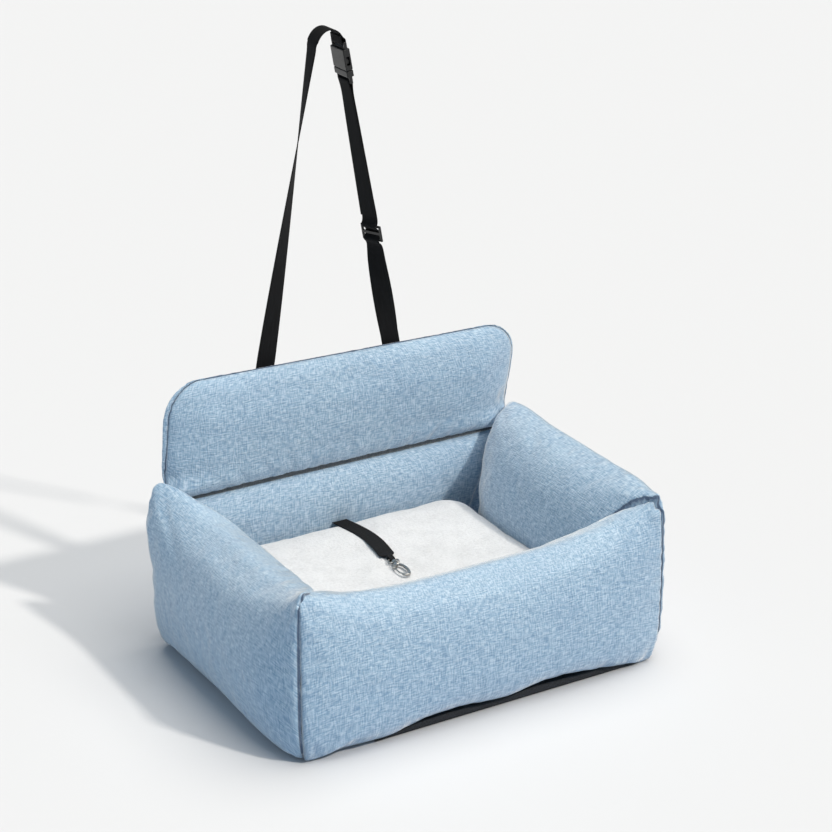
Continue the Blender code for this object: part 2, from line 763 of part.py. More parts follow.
def carved(name, bodies, cuts, surface, matrix, after=()):
    """One solid from helper bodies joined, cuts taken away and more bodies joined after, set in its
    place by a matrix."""
    base = bodies[0]
    for other in bodies[1:]:
        join(base, other, "UNION")
    for other in cuts:
        join(base, other, "DIFFERENCE")
    for other in after:
        join(base, other, "UNION")
    bpy.context.view_layer.update()
    graph = bpy.context.evaluated_depsgraph_get()
    mesh = bpy.data.meshes.new_from_object(base.evaluated_get(graph))
    for used in [*bodies, *cuts, *after]:
        bpy.data.objects.remove(used, do_unlink=True)
    mesh.name = name
    mesh.materials.clear()
    mesh.shade_smooth()
    mesh.set_sharp_from_angle(angle=radians(35))
    made = add(name, mesh, surface)
    made.matrix_world = matrix
    return made


def leg_matrix(height, turn=pi / 2):
    """Sets a shape on the right leg: X across the webbing, Y out of its face, Z up the leg."""
    side = level(turn)
    side = (side - LEG_UP * side.dot(LEG_UP)).normalized()
    axes = Matrix((side, LEG_UP.cross(side), LEG_UP)).transposed().to_4x4()
    return Matrix.Translation(on_leg(height)) @ axes


def socket():
    """The buckle's socket: a flat box with a mouth below, side windows and a bar for the webbing."""
    top = SOCKET_LENGTH - BAR_FRAME
    deep = BAR_FRAME + FRAME_LAP
    body = block((BUCKLE_WIDTH, BUCKLE_THICKNESS, top), (0, 0, top / 2), BODY_EDGE)
    frame = block((BUCKLE_WIDTH, 2 * BAR_RADIUS + GAP, deep), (0, 0, SOCKET_LENGTH - deep / 2), FRAME_EDGE)
    mouth = block((BUCKLE_WIDTH - 2 * BUCKLE_WALL, FORK_THICKNESS + 2 * FIT, 2 * MOUTH_DEPTH), (0, 0, 0))
    window = block((BUCKLE_WIDTH * 1.2, WINDOW_HEIGHT, WINDOW_LENGTH), (0, 0, WINDOW_Z))
    slot = block((SLOT_LENGTH, BUCKLE_WIDTH, 2 * SLOT_WIDTH), (0, 0, SOCKET_LENGTH))
    bar = drum(BAR_RADIUS, SLOT_LENGTH + BAR_LAP, (0, 0, SOCKET_LENGTH - BAR_RADIUS), "X")
    carved("buckle_socket", [body, frame], [mouth, window, slot], PLASTIC, leg_matrix(JOIN_HEIGHT), [bar])


def plug():
    """The buckle's plug: a bar frame with two barbed prongs and a guide between them."""
    low = -PLUG_LENGTH
    deep, solid = BAR_FRAME + FRAME_LAP, PLUG_LENGTH - BAR_FRAME
    frame = block((BUCKLE_WIDTH, 2 * BAR_RADIUS + GAP, deep), (0, 0, low + deep / 2), FRAME_EDGE)
    shoulder = block((BUCKLE_WIDTH, BUCKLE_THICKNESS, solid), (0, 0, -solid / 2), BODY_EDGE)
    slot = block((SLOT_LENGTH, BUCKLE_WIDTH, 2 * SLOT_WIDTH), (0, 0, low))
    bar = drum(BAR_RADIUS, SLOT_LENGTH + BAR_LAP, (0, 0, low + BAR_RADIUS), "X")
    edge = BUCKLE_WIDTH / 2 - BUCKLE_WALL - FIT
    outer, inner = edge - BARB_WIDTH, edge - BARB_WIDTH - PRONG_WIDTH
    bodies = [shoulder, frame]
    for side in (-1, 1):
        outline = [(inner, -FORK_LAP), (outer, -FORK_LAP), (outer, BARB_Z), (edge, BARB_Z + BARB_SLOPE)]
        outline += [(edge, BARB_Z + BARB_LENGTH), (edge - BARB_TAPER, PRONG_LENGTH), (inner, PRONG_LENGTH)]
        outline = [(side * x, z) for x, z in outline]
        bodies.append(prism(outline[::side], FORK_THICKNESS))
    half, tip = GUIDE_WIDTH / 2, PRONG_LENGTH - GUIDE_SHORT
    shoulders = tip - GUIDE_POINT
    guide = [(-half, -FORK_LAP), (half, -FORK_LAP), (half, shoulders), (0, tip), (-half, shoulders)]
    bodies.append(prism(guide, FORK_THICKNESS))
    carved("buckle_plug", bodies, [slot], PLASTIC, leg_matrix(JOIN_HEIGHT - GAP), [bar])


def slider():
    """The tri-glide that sets the strap's length: a frame, two slots and the bar between them."""
    frame = block((BUCKLE_WIDTH, GLIDE_THICKNESS, GLIDE_LENGTH), (0, 0, 0), FRAME_EDGE)
    offset = GLIDE_BAR / 2 + GLIDE_SLOT / 2
    slots = [block((SLOT_LENGTH, BUCKLE_WIDTH, GLIDE_SLOT), (0, 0, side * offset)) for side in (-1, 1)]
    carved("strap_slider", [frame], slots, PLASTIC, leg_matrix((GLIDE_Z - ANCHOR_Z) / LEG_UP.z, GLIDE_TURN))


def tether():
    """The short safety tether: its sewn root, and the webbing that lies over the pad's edge."""
    root = TETHER_ROOT
    height = root.z - TETHER_LIFT - BASE_TOP_Z - GAP
    middle = (root.x, root.y, BASE_TOP_Z + GAP + height / 2)
    box("tether_root", (TETHER_WIDTH, WEBBING, height), middle, BLACK)
    start = root - Vector((0, WEBBING, 0))
    last = TETHER_END - HOOK_AHEAD * TAPER_END
    left = Vector((-1, 0, 0))
    # the first stretch is straight, so the webbing's end lies square to its root
    stations = [(start, left, TETHER_WIDTH), (start - Vector((0, TETHER_STRAIGHT, 0)), left, TETHER_WIDTH)]
    for k in range(1, TETHER_STEPS):
        point = start.lerp(last, k / TETHER_STEPS)
        point.x += TETHER_BOW * sin(pi * k / TETHER_STEPS)
        stations.append((point, left, TETHER_WIDTH))
    stations.append((last, HOOK_ACROSS, TETHER_WIDTH))
    stations.append((TETHER_END - HOOK_AHEAD * TAPER_START + UP * FOLD_RADIUS, HOOK_ACROSS, FOLD_WIDTH))
    for turn in (pi / 2, pi / 4, 0, -pi / 4, -pi / 2):
        point = TETHER_END + FOLD_RADIUS * (HOOK_AHEAD * cos(turn) + UP * sin(turn))
        stations.append((point, HOOK_ACROSS, FOLD_WIDTH))
    stations.append((TETHER_END - HOOK_AHEAD * TAPER_START - UP * FOLD_RADIUS, HOOK_ACROSS, FOLD_WIDTH))
    ribbon("tether_webbing", stations, BLACK, root)


def hook_matrix(ahead):
    """Sets a shape on the hook's line: X across, Y along it towards the ring, Z up."""
    axes = Matrix((HOOK_ACROSS, HOOK_AHEAD, UP)).transposed().to_4x4()
    return Matrix.Translation(TETHER_END + HOOK_AHEAD * ahead) @ axes


def eye():
    """The swivel eye: a wire loop in the webbing's fold, closed by a collar that the hook turns in."""
    half, reach = EYE_HALF, EYE_LENGTH
    corner = EYE_CORNER
    points = []
    corners = ((half, 0, -pi / 2), (half, reach, 0), (-half, reach, pi / 2), (-half, 0, pi))
    for across, along, first in corners:
        centre_x = across - corner * (1 if across > 0 else -1)
        centre_y = along + corner * (1 if along == 0 else -1)
        for k in range(4):
            turn = first + (pi / 2) * k / 3
            points.append((centre_x + corner * cos(turn), centre_y + corner * sin(turn), 0))
    ring = as_mesh(wire("ring", points, EYE_WIRE, STEEL, closed=True, sides=2))
    PARTS.objects.unlink(ring)
    CUTTERS.objects.link(ring)
    collar = drum(COLLAR_RADIUS, COLLAR_LENGTH, (0, reach, 0), "Y")
    bore = drum(STEM_RADIUS + FIT, 3 * COLLAR_LENGTH, (0, reach, 0), "Y", 16)
    carved("swivel_eye", [ring, collar], [bore], STEEL, hook_matrix(0))


def oval(turn):
    """A point of the hook's ring, in its own plane, from the end nearest the swivel."""
    return Vector((RING_HALF * sin(turn), RING_REACH * (1 - cos(turn)), 0))


def hook():
    """The trigger hook: a stem riveted in the swivel, an oval ring open on one side, and its gate."""
    back = EYE_LENGTH - COLLAR_LENGTH / 2 - GAP
    front = EYE_LENGTH + COLLAR_LENGTH / 2 + GAP
    start = front + NECK
    head = drum(HEAD_RADIUS, HEAD_LENGTH, (0, back - HEAD_LENGTH / 2, 0), "Y", 16)
    rear = back - HEAD_LENGTH / 2
    stem = drum(STEM_RADIUS, start - rear, (0, (start + rear) / 2, 0), "Y", 16)
    neck = drum(NECK_RADIUS, NECK, (0, front + NECK / 2, 0), "Y", 16)
    centre = Vector((0, start, 0))
    sweep = 2 * pi + HOOK_OPEN_START - HOOK_OPEN_END
    points = [oval(HOOK_OPEN_END + sweep * k / BOW_STEPS) + centre for k in range(BOW_STEPS + 1)]
    bow = rod(points, RING_WIRE)
    pivot = oval(HOOK_PIVOT) + centre
    cheeks = [drum(CHEEK_RADIUS, CHEEK, (pivot.x, pivot.y, side * CHEEK_Z)) for side in (-1, 1)]
    pin_hole = drum(PIN_RADIUS + GAP / 3, 0.02, pivot, sides=12)
    carved("hook_body", [head, stem, neck, bow] + cheeks, [pin_hole], STEEL, hook_matrix(0))
    pin = drum(PIN_RADIUS, 2 * CHEEK_Z + CHEEK, (0, 0, 0), sides=12)
    turned = hook_matrix(0)
    carved("gate_pin", [pin], [], STEEL, turned @ Matrix.Translation(pivot))
    first, last = HOOK_PIVOT, HOOK_OPEN_END - GATE_CLEAR
    points = [oval(first + (last - first) * k / GATE_STEPS) + centre - pivot for k in range(GATE_STEPS + 1)]
    # the arm's tip is tucked in, so that it swings past the hook's nose
    points[-1] -= Vector((GATE_TUCK, GATE_TUCK / 2, 0))
    arm = rod(points, GATE_WIRE)
    knuckle = drum(KNUCKLE_RADIUS, 2 * (CHEEK_Z - CHEEK / 2 - GAP), (0, 0, 0))
    thumb = block(THUMB, (THUMB_OUT, THUMB_AHEAD, 0), THUMB_EDGE)
    bore = drum(PIN_RADIUS + 2 * GAP / 3, 0.02, (0, 0, 0), sides=12)
    carved("hook_gate", [arm, knuckle, thumb], [bore], STEEL, turned @ Matrix.Translation(pivot))


back_wall()
backrest()
piping()
front_bolster()
side_bolster("left_bolster", -1)
side_bolster("right_bolster", 1)
base()
pad()
patches()
left_strap()
right_strap()
socket()
plug()
slider()
tether()
eye()
hook()
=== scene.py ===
# Dog car bed: a box of stuffed bolsters round a plush pad, with a backrest flap, a headrest strap
# with a side-release buckle, and a short tether with a trigger hook.
from math import atan2, cos, exp, hypot, pi, radians, sin

import bmesh
import bpy
from mathutils import Matrix, Vector, noise

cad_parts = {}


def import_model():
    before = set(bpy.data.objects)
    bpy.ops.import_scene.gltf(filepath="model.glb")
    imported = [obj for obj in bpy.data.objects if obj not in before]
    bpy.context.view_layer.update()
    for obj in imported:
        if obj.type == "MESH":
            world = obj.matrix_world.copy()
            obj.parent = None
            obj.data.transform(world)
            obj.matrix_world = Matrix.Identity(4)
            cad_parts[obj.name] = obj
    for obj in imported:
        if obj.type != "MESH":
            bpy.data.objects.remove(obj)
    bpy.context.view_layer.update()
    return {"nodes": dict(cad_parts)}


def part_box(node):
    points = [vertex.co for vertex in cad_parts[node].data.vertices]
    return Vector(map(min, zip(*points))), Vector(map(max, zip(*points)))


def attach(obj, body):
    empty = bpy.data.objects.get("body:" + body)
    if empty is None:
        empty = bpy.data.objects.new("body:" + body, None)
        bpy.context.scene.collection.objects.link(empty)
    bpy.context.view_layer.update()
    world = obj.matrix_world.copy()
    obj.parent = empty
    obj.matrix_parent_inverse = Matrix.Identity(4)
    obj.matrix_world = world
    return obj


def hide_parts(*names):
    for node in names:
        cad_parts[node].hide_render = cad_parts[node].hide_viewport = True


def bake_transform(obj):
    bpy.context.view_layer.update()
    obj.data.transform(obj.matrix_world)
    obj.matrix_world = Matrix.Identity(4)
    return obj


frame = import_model()
nodes = frame["nodes"]
scene = bpy.context.scene
print("frame loaded")


def colour(red, green, blue):
    # written as it looks on screen, from 0 to 255
    def channel(value):
        value /= 255
        return value / 12.92 if value <= 0.04045 else ((value + 0.055) / 1.055) ** 2.4

    return (channel(red), channel(green), channel(blue), 1)


def grey(level):
    return (level, level, level, 1)


def eased(value):
    value = min(max(value, 0), 1)
    return value * value * (3 - 2 * value)


def newMaterial(name, roughness, metallic=0.0):
    material = bpy.data.materials.new(name)
    material.use_nodes = True
    surface = material.node_tree.nodes["Principled BSDF"]
    surface.inputs["Roughness"].default_value = roughness
    surface.inputs["Metallic"].default_value = metallic
    return material, material.node_tree, surface


def coordinates(tree, scale, clothMap=True):
    # metres on the piece, times a scale each way
    if clothMap:
        source = tree.nodes.new("ShaderNodeUVMap")
        source.uv_map = "cloth"
        place = source.outputs["UV"]
    else:
        place = tree.nodes.new("ShaderNodeTexCoord").outputs["Object"]
    mapping = tree.nodes.new("ShaderNodeMapping")
    mapping.inputs["Scale"].default_value = scale
    tree.links.new(place, mapping.inputs["Vector"])
    return mapping.outputs["Vector"]


def grain(tree, scale, detail=1.0, roughness=0.5, clothMap=True):
    made = tree.nodes.new("ShaderNodeTexNoise")
    made.inputs["Scale"].default_value = 1
    made.inputs["Detail"].default_value = detail
    made.inputs["Roughness"].default_value = roughness
    tree.links.new(coordinates(tree, scale, clothMap), made.inputs["Vector"])
    return made.outputs["Fac"]


def speckle(tree, count, detail, roughness):
    # grain that is alike every way, with so many grains to a metre
    return grain(tree, (count,) * 3, detail, roughness, False)


def wave(tree, scale, distortion):
    made = tree.nodes.new("ShaderNodeTexWave")
    made.bands_direction = "X"
    made.inputs["Scale"].default_value = 1
    made.inputs["Distortion"].default_value = distortion
    tree.links.new(coordinates(tree, scale), made.inputs["Vector"])
    return made.outputs["Fac"]


def maths(tree, operation, first, second=0.0):
    made = tree.nodes.new("ShaderNodeMath")
    made.operation = operation
    for socket, value in zip(made.inputs, (first, second)):
        if isinstance(value, (int, float)):
            socket.default_value = value
        else:
            tree.links.new(value, socket)
    return made.outputs["Value"]


def mixed(tree, first, share, second):
    # a share of the first, and the rest of the second
    rest = maths(tree, "MULTIPLY", second, 1 - share)
    return maths(tree, "ADD", maths(tree, "MULTIPLY", first, share), rest)


def ramp(tree, source, stops):
    made = tree.nodes.new("ShaderNodeValToRGB")
    elements = made.color_ramp.elements
    while len(elements) < len(stops):
        elements.new(0.5)
    for element, (place, shade) in zip(elements, stops):
        element.position = place
        element.color = shade
    tree.links.new(source, made.inputs["Fac"])
    return made.outputs["Color"]


def multiplied(tree, first, second):
    made = tree.nodes.new("ShaderNodeMix")
    made.data_type = "RGBA"
    made.blend_type = "MULTIPLY"
    made.inputs["Factor"].default_value = 1
    tree.links.new(first, made.inputs["A"])
    tree.links.new(second, made.inputs["B"])
    return made.outputs["Result"]


def shaded(tree, surface, source, stops, socket="Base Color"):
    tree.links.new(ramp(tree, source, stops), surface.inputs[socket])


def relief(tree, surface, height, depth):
    bump = tree.nodes.new("ShaderNodeBump")
    bump.inputs["Strength"].default_value = 1
    bump.inputs["Distance"].default_value = depth
    tree.links.new(height, bump.inputs["Height"])
    tree.links.new(bump.outputs["Normal"], surface.inputs["Normal"])


linen = {
    "shade": colour(125, 157, 187),
    "body": colour(157, 184, 206),
    "light": colour(193, 211, 226),
    "roughness": 0.66,
    "threads": 450,  # across a metre
    "slubs": 90,  # how often a thread thickens along a metre
    "weft": 0.55,  # how much of the weave the weft makes
    "stops": (0.36, 0.5, 0.64),  # where the weave takes its three shades
    "relief": 0.0015,
    "patches": 9,  # soft changes of tone, across a metre
    "faded": (0.90, 0.92, 0.95, 1),
    "thread": (0.16, 0.20, 0.27, 1),  # how dark a seam is, of the cloth
    "seamLine": 0.0020,  # half the width of the dark line along a seam
    "seamCore": 0.35,  # how much of that line is darkest
    "seamGroove": 0.0050,
    "seamDepth": 0.0020,
    "waves": 24,  # soft unevenness over the stuffing, across a metre
    "waveDepth": 0.0045,
    "sheen": (1, 0.97, 0.93, 1),
    "sheenRoughness": 0.42,
    "creaseShade": 0.08,  # painted shade: how dark the cloth deep in the crease is painted, of the linen
}


def linenCloth(name, shadeTint=1.0):
    # slub weave: two families of uneven threads, crossing, with soft changes of tone
    material, tree, surface = newMaterial(name, linen["roughness"])
    weft = grain(tree, (linen["slubs"], linen["threads"], 1))
    warp = grain(tree, (linen["threads"], linen["slubs"], 1))
    weave = mixed(tree, weft, linen["weft"], warp)
    # shadeTint darkens the whole weave; below 1 it is painted shade
    shades = [[shadeTint * part for part in linen[key][:3]] + [1] for key in ("shade", "body", "light")]
    threads = ramp(tree, weave, list(zip(linen["stops"], shades)))
    tone = ramp(tree, speckle(tree, linen["patches"], 3, 0.6), [(0.3, linen["faded"]), (0.7, grey(1))])
    seam = tree.nodes.new("ShaderNodeAttribute")
    seam.attribute_name = "seam"
    away = maths(tree, "ABSOLUTE", seam.outputs["Fac"])
    stops = [(linen["seamCore"], linen["thread"]), (1, grey(1))]
    line = ramp(tree, maths(tree, "DIVIDE", away, linen["seamLine"]), stops)
    tree.links.new(multiplied(tree, multiplied(tree, threads, tone), line), surface.inputs["Base Color"])
    groove = maths(tree, "MINIMUM", maths(tree, "DIVIDE", away, linen["seamGroove"]), 1)
    groove = maths(tree, "MULTIPLY", groove, linen["seamDepth"] / linen["waveDepth"])
    fine = maths(tree, "MULTIPLY", weave, linen["relief"] / linen["waveDepth"])
    waves = maths(tree, "ADD", speckle(tree, linen["waves"], 2, 0.5), fine)
    relief(tree, surface, maths(tree, "ADD", waves, groove), linen["waveDepth"])
    surface.inputs["Sheen Weight"].default_value = 1.0
    surface.inputs["Sheen Roughness"].default_value = linen["sheenRoughness"]
    surface.inputs["Sheen Tint"].default_value = linen["sheen"]
    return material


plush = {
    "low": colour(189, 191, 194),
    "high": colour(208, 210, 213),
    "roughness": 0.95,
    "tuft": 240,  # tufts across a metre
    "mound": 34,
    "tufty": 0.6,  # how much of the pile is tufts, and not mounds
    "relief": 0.0022,
    "sheen": 0.25,
    "sheenRoughness": 0.6,
}


def plushCloth():
    # short white pile: small tufts over broader mounds
    material, tree, surface = newMaterial("whitePlush", plush["roughness"])
    tufts = speckle(tree, plush["tuft"], 4, 0.7)
    mounds = speckle(tree, plush["mound"], 3, 0.6)
    pile = mixed(tree, tufts, plush["tufty"], mounds)
    shaded(tree, surface, pile, [(0.34, plush["low"]), (0.56, plush["high"])])
    relief(tree, surface, pile, plush["relief"])
    surface.inputs["Sheen Weight"].default_value = plush["sheen"]
    surface.inputs["Sheen Roughness"].default_value = plush["sheenRoughness"]
    return material


webbing = {
    "dark": colour(5, 5, 6),
    "light": colour(24, 24, 26),
    "roughness": 0.8,
    "gloss": 0.2,
    "ribs": 700,  # ribs along a metre
    "bands": 3.2,  # how many ribs a wave texture makes on one unit by itself
    "uneven": 0.6,
    "cords": 520,  # cords across a metre of width
    "cordRuns": 30,  # how often a cord changes along a metre
    "ribbed": 0.4,  # how much of the weave is ribs, and not cords
    "relief": 0.0004,
}


def webbingCloth():
    # woven nylon: ribs across the strap over cords that run along it
    material, tree, surface = newMaterial("blackWebbing", webbing["roughness"])
    ribs = wave(tree, (webbing["ribs"] / webbing["bands"], 0, 0), webbing["uneven"])
    cords = grain(tree, (webbing["cordRuns"], webbing["cords"], 1), 1, 0.4)
    weave = mixed(tree, ribs, webbing["ribbed"], cords)
    shaded(tree, surface, weave, [(0.3, webbing["dark"]), (0.75, webbing["light"])])
    relief(tree, surface, weave, webbing["relief"])
    surface.inputs["Specular IOR Level"].default_value = webbing["gloss"]
    return material


# The plain finishes. A speckle is its grains to a metre, its detail and its roughness
nonwoven = {
    "dark": colour(24, 26, 30),
    "light": colour(52, 55, 60),
    "full": 0.7,  # where on the speckle the light shade is reached
    "roughness": 0.9,
    "speckle": (420, 3, 0.6),
    "relief": 0.0003,
}
acetal = {
    "dark": colour(9, 9, 10),
    "light": colour(20, 20, 22),
    "full": 0.75,
    "roughness": 0.38,
    "worn": (0.26, 0.38),  # its roughness in the dark and in the light
    "speckle": (90, 3, 0.6),
    "grit": (2600, 2, 0.5),  # the spark-eroded grain that its relief follows
    "relief": 0.00006,
}
plating = {
    "dark": colour(150, 148, 144),
    "light": colour(196, 194, 190),
    "full": 0.7,
    "roughness": 0.3,
    "worn": (0.42, 0.22),
    "speckle": (160, 4, 0.65),
    "relief": 0.00005,
}
sewing = {
    "dark": colour(26, 27, 30),
    "light": colour(58, 60, 64),
    "full": 0.7,
    "roughness": 0.55,
    "speckle": (1500, 1, 0.5),
}


def finished(name, finish, metallic=0.0):
    material, tree, surface = newMaterial(name, finish["roughness"], metallic)
    spots = speckle(tree, *finish["speckle"])
    shaded(tree, surface, spots, [(0.3, finish["dark"]), (finish["full"], finish["light"])])
    if "worn" in finish:
        first, last = finish["worn"]
        shaded(tree, surface, spots, [(0.3, grey(first)), (0.7, grey(last))], "Roughness")
    if "relief" in finish:
        height = speckle(tree, *finish["grit"]) if "grit" in finish else spots
        relief(tree, surface, height, finish["relief"])
    return material


blueLinen = linenCloth("blueLinen")
# the linen of the crease, darkened as painted shade
creaseShadeLinen = linenCloth("creaseShadeLinen", linen["creaseShade"])
whitePlush = plushCloth()
blackWebbing = webbingCloth()
blackNonwoven = finished("underCloth", nonwoven)
blackPlastic = finished("mouldedPlastic", acetal)
nickel = finished("nickelledMetal", plating, 1.0)
blackThread = finished("blackThread", sewing)
print("materials made")


# Stuffed pieces: a copy of the CAD filling is remeshed, eased, blown up as cloth and capped
stuffing = {
    "merge": 0.00002,  # the CAD's loose triangles are joined within this
    "pressure": 4.0,
    "spare": 0.02,  # how much wider than its shape the cloth is cut
    "frames": 20,
    "easing": 6,  # rounds of smoothing of the facets before the cloth is blown up
    "held": 0.004,  # how near a seam the cloth is held still
}


def applied(piece):
    graph = bpy.context.evaluated_depsgraph_get()
    mesh = bpy.data.meshes.new_from_object(piece.evaluated_get(graph))
    old = piece.data
    piece.modifiers.clear()
    piece.data = mesh
    bpy.data.meshes.remove(old)
    mesh.name = piece.name


def pieceFrom(bm, name):
    mesh = bpy.data.meshes.new(name)
    bm.to_mesh(mesh)
    bm.free()
    piece = bpy.data.objects.new(name, mesh)
    scene.collection.objects.link(piece)
    return piece


def smoothed(mesh, rounds, kept):
    bm = bmesh.new()
    bm.from_mesh(mesh)
    free = [vert for vert in bm.verts if not kept(vert.co)]
    for _ in range(rounds):
        bmesh.ops.smooth_vert(bm, verts=free, factor=0.5, use_axis_x=True, use_axis_y=True, use_axis_z=True)
    bm.to_mesh(mesh)
    bm.free()


def stuffed(name, cadNode, sewn, proud, voxel):
    # sewn says which points the seams hold, and the cloth starts out proud of the filling
    bm = bmesh.new()
    bm.from_mesh(nodes[cadNode].data)
    bmesh.ops.remove_doubles(bm, verts=bm.verts, dist=stuffing["merge"])
    bmesh.ops.recalc_face_normals(bm, faces=bm.faces)
    piece = pieceFrom(bm, name)
    remesh = piece.modifiers.new("remesh", "REMESH")
    remesh.mode = "VOXEL"
    remesh.voxel_size = voxel
    applied(piece)
    smoothed(piece.data, stuffing["easing"], sewn)
    for vert in piece.data.vertices:
        vert.co += vert.normal * proud
    held = piece.vertex_groups.new(name="seams")
    for vert in piece.data.vertices:
        if sewn(vert.co):
            held.add([vert.index], 1.0, "REPLACE")
    cloth = piece.modifiers.new("blown", "CLOTH")
    settings = cloth.settings
    settings.quality = 4
    settings.mass = 0.3
    settings.tension_stiffness = 20
    settings.compression_stiffness = 10
    settings.shear_stiffness = 8
    settings.bending_stiffness = 1.5
    settings.use_pressure = True
    settings.uniform_pressure_force = stuffing["pressure"]
    settings.shrink_min = -stuffing["spare"]
    settings.vertex_group_mass = "seams"
    settings.effector_weights.gravity = 0
    cloth.collision_settings.use_collision = False
    cloth.collision_settings.use_self_collision = False
    cloth.point_cache.frame_start = 1
    cloth.point_cache.frame_end = stuffing["frames"]
    return piece


def settled(pieces, caps):
    # one run of frames for all the pieces, then no point moves further than its cap
    starts = [[vert.co.copy() for vert in piece.data.vertices] for piece in pieces]
    for number in range(1, stuffing["frames"] + 1):
        scene.frame_set(number)
    graph = bpy.context.evaluated_depsgraph_get()
    moved = []
    for piece in pieces:
        mesh = piece.evaluated_get(graph).to_mesh()
        moved.append([vert.co.copy() for vert in mesh.vertices])
        piece.evaluated_get(graph).to_mesh_clear()
    for piece, start, end, cap in zip(pieces, starts, moved, caps):
        piece.modifiers.clear()
        for vert, first, last in zip(piece.data.vertices, start, end):
            step = last - first
            reach = step.length
            # far movement is pressed together, so that the cap leaves no ledge
            vert.co = first + step * (cap * (1 - exp(-reach / cap)) / reach if reach > 1e-7 else 0)
    scene.frame_set(1)


def clothMap(piece, rule):
    # metres over the cloth, for the weave
    layer = piece.data.uv_layers.new(name="cloth")
    places = [rule(vert.co) for vert in piece.data.vertices]
    for loop in piece.data.loops:
        layer.data[loop.index].uv = places[loop.vertex_index]


def seamed(piece, distance=None):
    # how far each point is from a seam, for the cloth's material. Without a rule no seam is near
    layer = piece.data.attributes.new("seam", "FLOAT", "POINT")
    for index, vert in enumerate(piece.data.vertices):
        layer.data[index].value = distance(vert.co) if distance else 1


def dressed(piece, surface, body, replaced, levels=1):
    if levels:
        rounding = piece.modifiers.new("rounding", "SUBSURF")
        rounding.levels = rounding.render_levels = levels
    piece.data.materials.clear()
    piece.data.materials.append(surface)
    piece.data.shade_smooth()
    if isinstance(body, str):
        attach(piece, body)
    else:
        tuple(body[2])
        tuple(body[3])
        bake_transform(piece)
    if replaced:
        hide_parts(*replaced)


wallLow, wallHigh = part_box("back_wall_cover")
flapLow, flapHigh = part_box("backrest_cover")
padLow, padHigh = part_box("pad_cover")
hookLow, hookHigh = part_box("hook_body")

bed = {
    "seamX": 0.300,  # the corners' upright seams
    "seamY": -0.235,
    "backY": wallLow.y,  # the face of the back wall
    "cornerTop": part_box("front_bolster_cover")[1].z,
    "ridgeFront": 0.040,  # from a bolster's seam plane to its ridge
    "ridgeLeft": 0.046,
    "ridgeRight": 0.012,
    "ridgeSoft": 0.035,
}
cornerShape = {
    "slant": 0.7071,  # the seams stand at 45 degrees
    "fill": 0.004,  # what the remesh rounds off each corner, given back
    "round": 0.016,
    "footRound": 0.007,
    "footReach": 0.03,
    "footTall": 0.06,
    "seamDepth": 0.0036,  # how far the seam is drawn in
    "seamWidth": 0.0042,
    "seamReach": 0.05,
    "pucker": 0.0026,
    "puckerReach": 0.016,
    "folds": 5.5,  # across a turn round the corner's tip
    "foldStart": 0.03,
    "foldDepth": 0.0075,
    "foldReach": 0.045,
    "tipBelow": 0.004,
    "tipSoft": 0.002,
    "ear": 0.010,  # the gathered tip of cloth
    "earOut": 0.4,
    "earReach": 0.015,
    "worked": 0.090,  # nothing further from a corner is touched
}
tether = {
    "width": 0.025,
    "root": Vector((-0.006, 0.18395, 0.1315)),
    "end": Vector((-0.0055, 0.0215, 0.1330)),
    "yaw": radians(6),
    "bow": 0.010,
    "bowShares": (0.1, 0.25, 0.4, 0.55, 0.7, 0.85, 1),
    "straight": 0.020,  # the bow ends this far before the eye's bar
    "narrowing": 0.010,
    "fold": 0.0085,  # its width where it goes through the eye
    "foldRadius": 0.00235,
    "foldBefore": 0.009,
    "tail": 0.011,
    "tailLift": 0.0002,
    "steps": 150,
}


def onMitre(point):
    # distance from the upright plane that a front corner is sewn on
    return (abs(point.x) - bed["seamX"] - (bed["seamY"] - point.y)) / (2 * cornerShape["slant"])


def sewnFront(point):
    return abs(onMitre(point)) < stuffing["held"]


def sewnSide(point):
    return sewnFront(point) or point.y > bed["backY"] - stuffing["held"]


def sewnBelow(bottom):
    return lambda point: point.z < bottom + stuffing["held"]


fillings = {
    # the CAD filling, what is sewn, how proud the cloth starts, the remesh's voxel and the cap
    "frontBolster": ("front_bolster_filling", sewnFront, 0.0018, 0.006, 0.006),
    "leftBolster": ("left_bolster_filling", sewnSide, 0.0018, 0.006, 0.006),
    "rightBolster": ("right_bolster_filling", sewnSide, 0.0018, 0.006, 0.006),
    "backWall": ("back_wall_filling", sewnBelow(0), 0.0018, 0.006, 0.004),
    "backrest": ("backrest_filling", sewnBelow(flapLow.z), 0.0018, 0.0045, 0.005),
    "plushPad": ("pad_filling", sewnBelow(padLow.z), 0.0022, 0.006, 0.004),
}
stuffedPieces, caps = [], []
for name, (cadNode, sewn, proud, voxel, cap) in fillings.items():
    stuffedPieces.append(stuffed(name, cadNode, sewn, proud, voxel))
    caps.append(cap)
settled(stuffedPieces, caps)
frontBolster, leftBolster, rightBolster, backWall, backrest, plushPad = stuffedPieces
print("cloth blown up")


gathers = {"broad": 95, "narrow": 210, "narrowShare": 0.5}  # waves across a metre of seam


def ripple(along, number):
    # uneven gathers along a seam
    broad = noise.noise(Vector((along * gathers["broad"], number, 0)))
    return broad + gathers["narrowShare"] * noise.noise(Vector((along * gathers["narrow"], number, 7)))


def bell(distance, reach):
    return exp(-(distance / reach) ** 2)


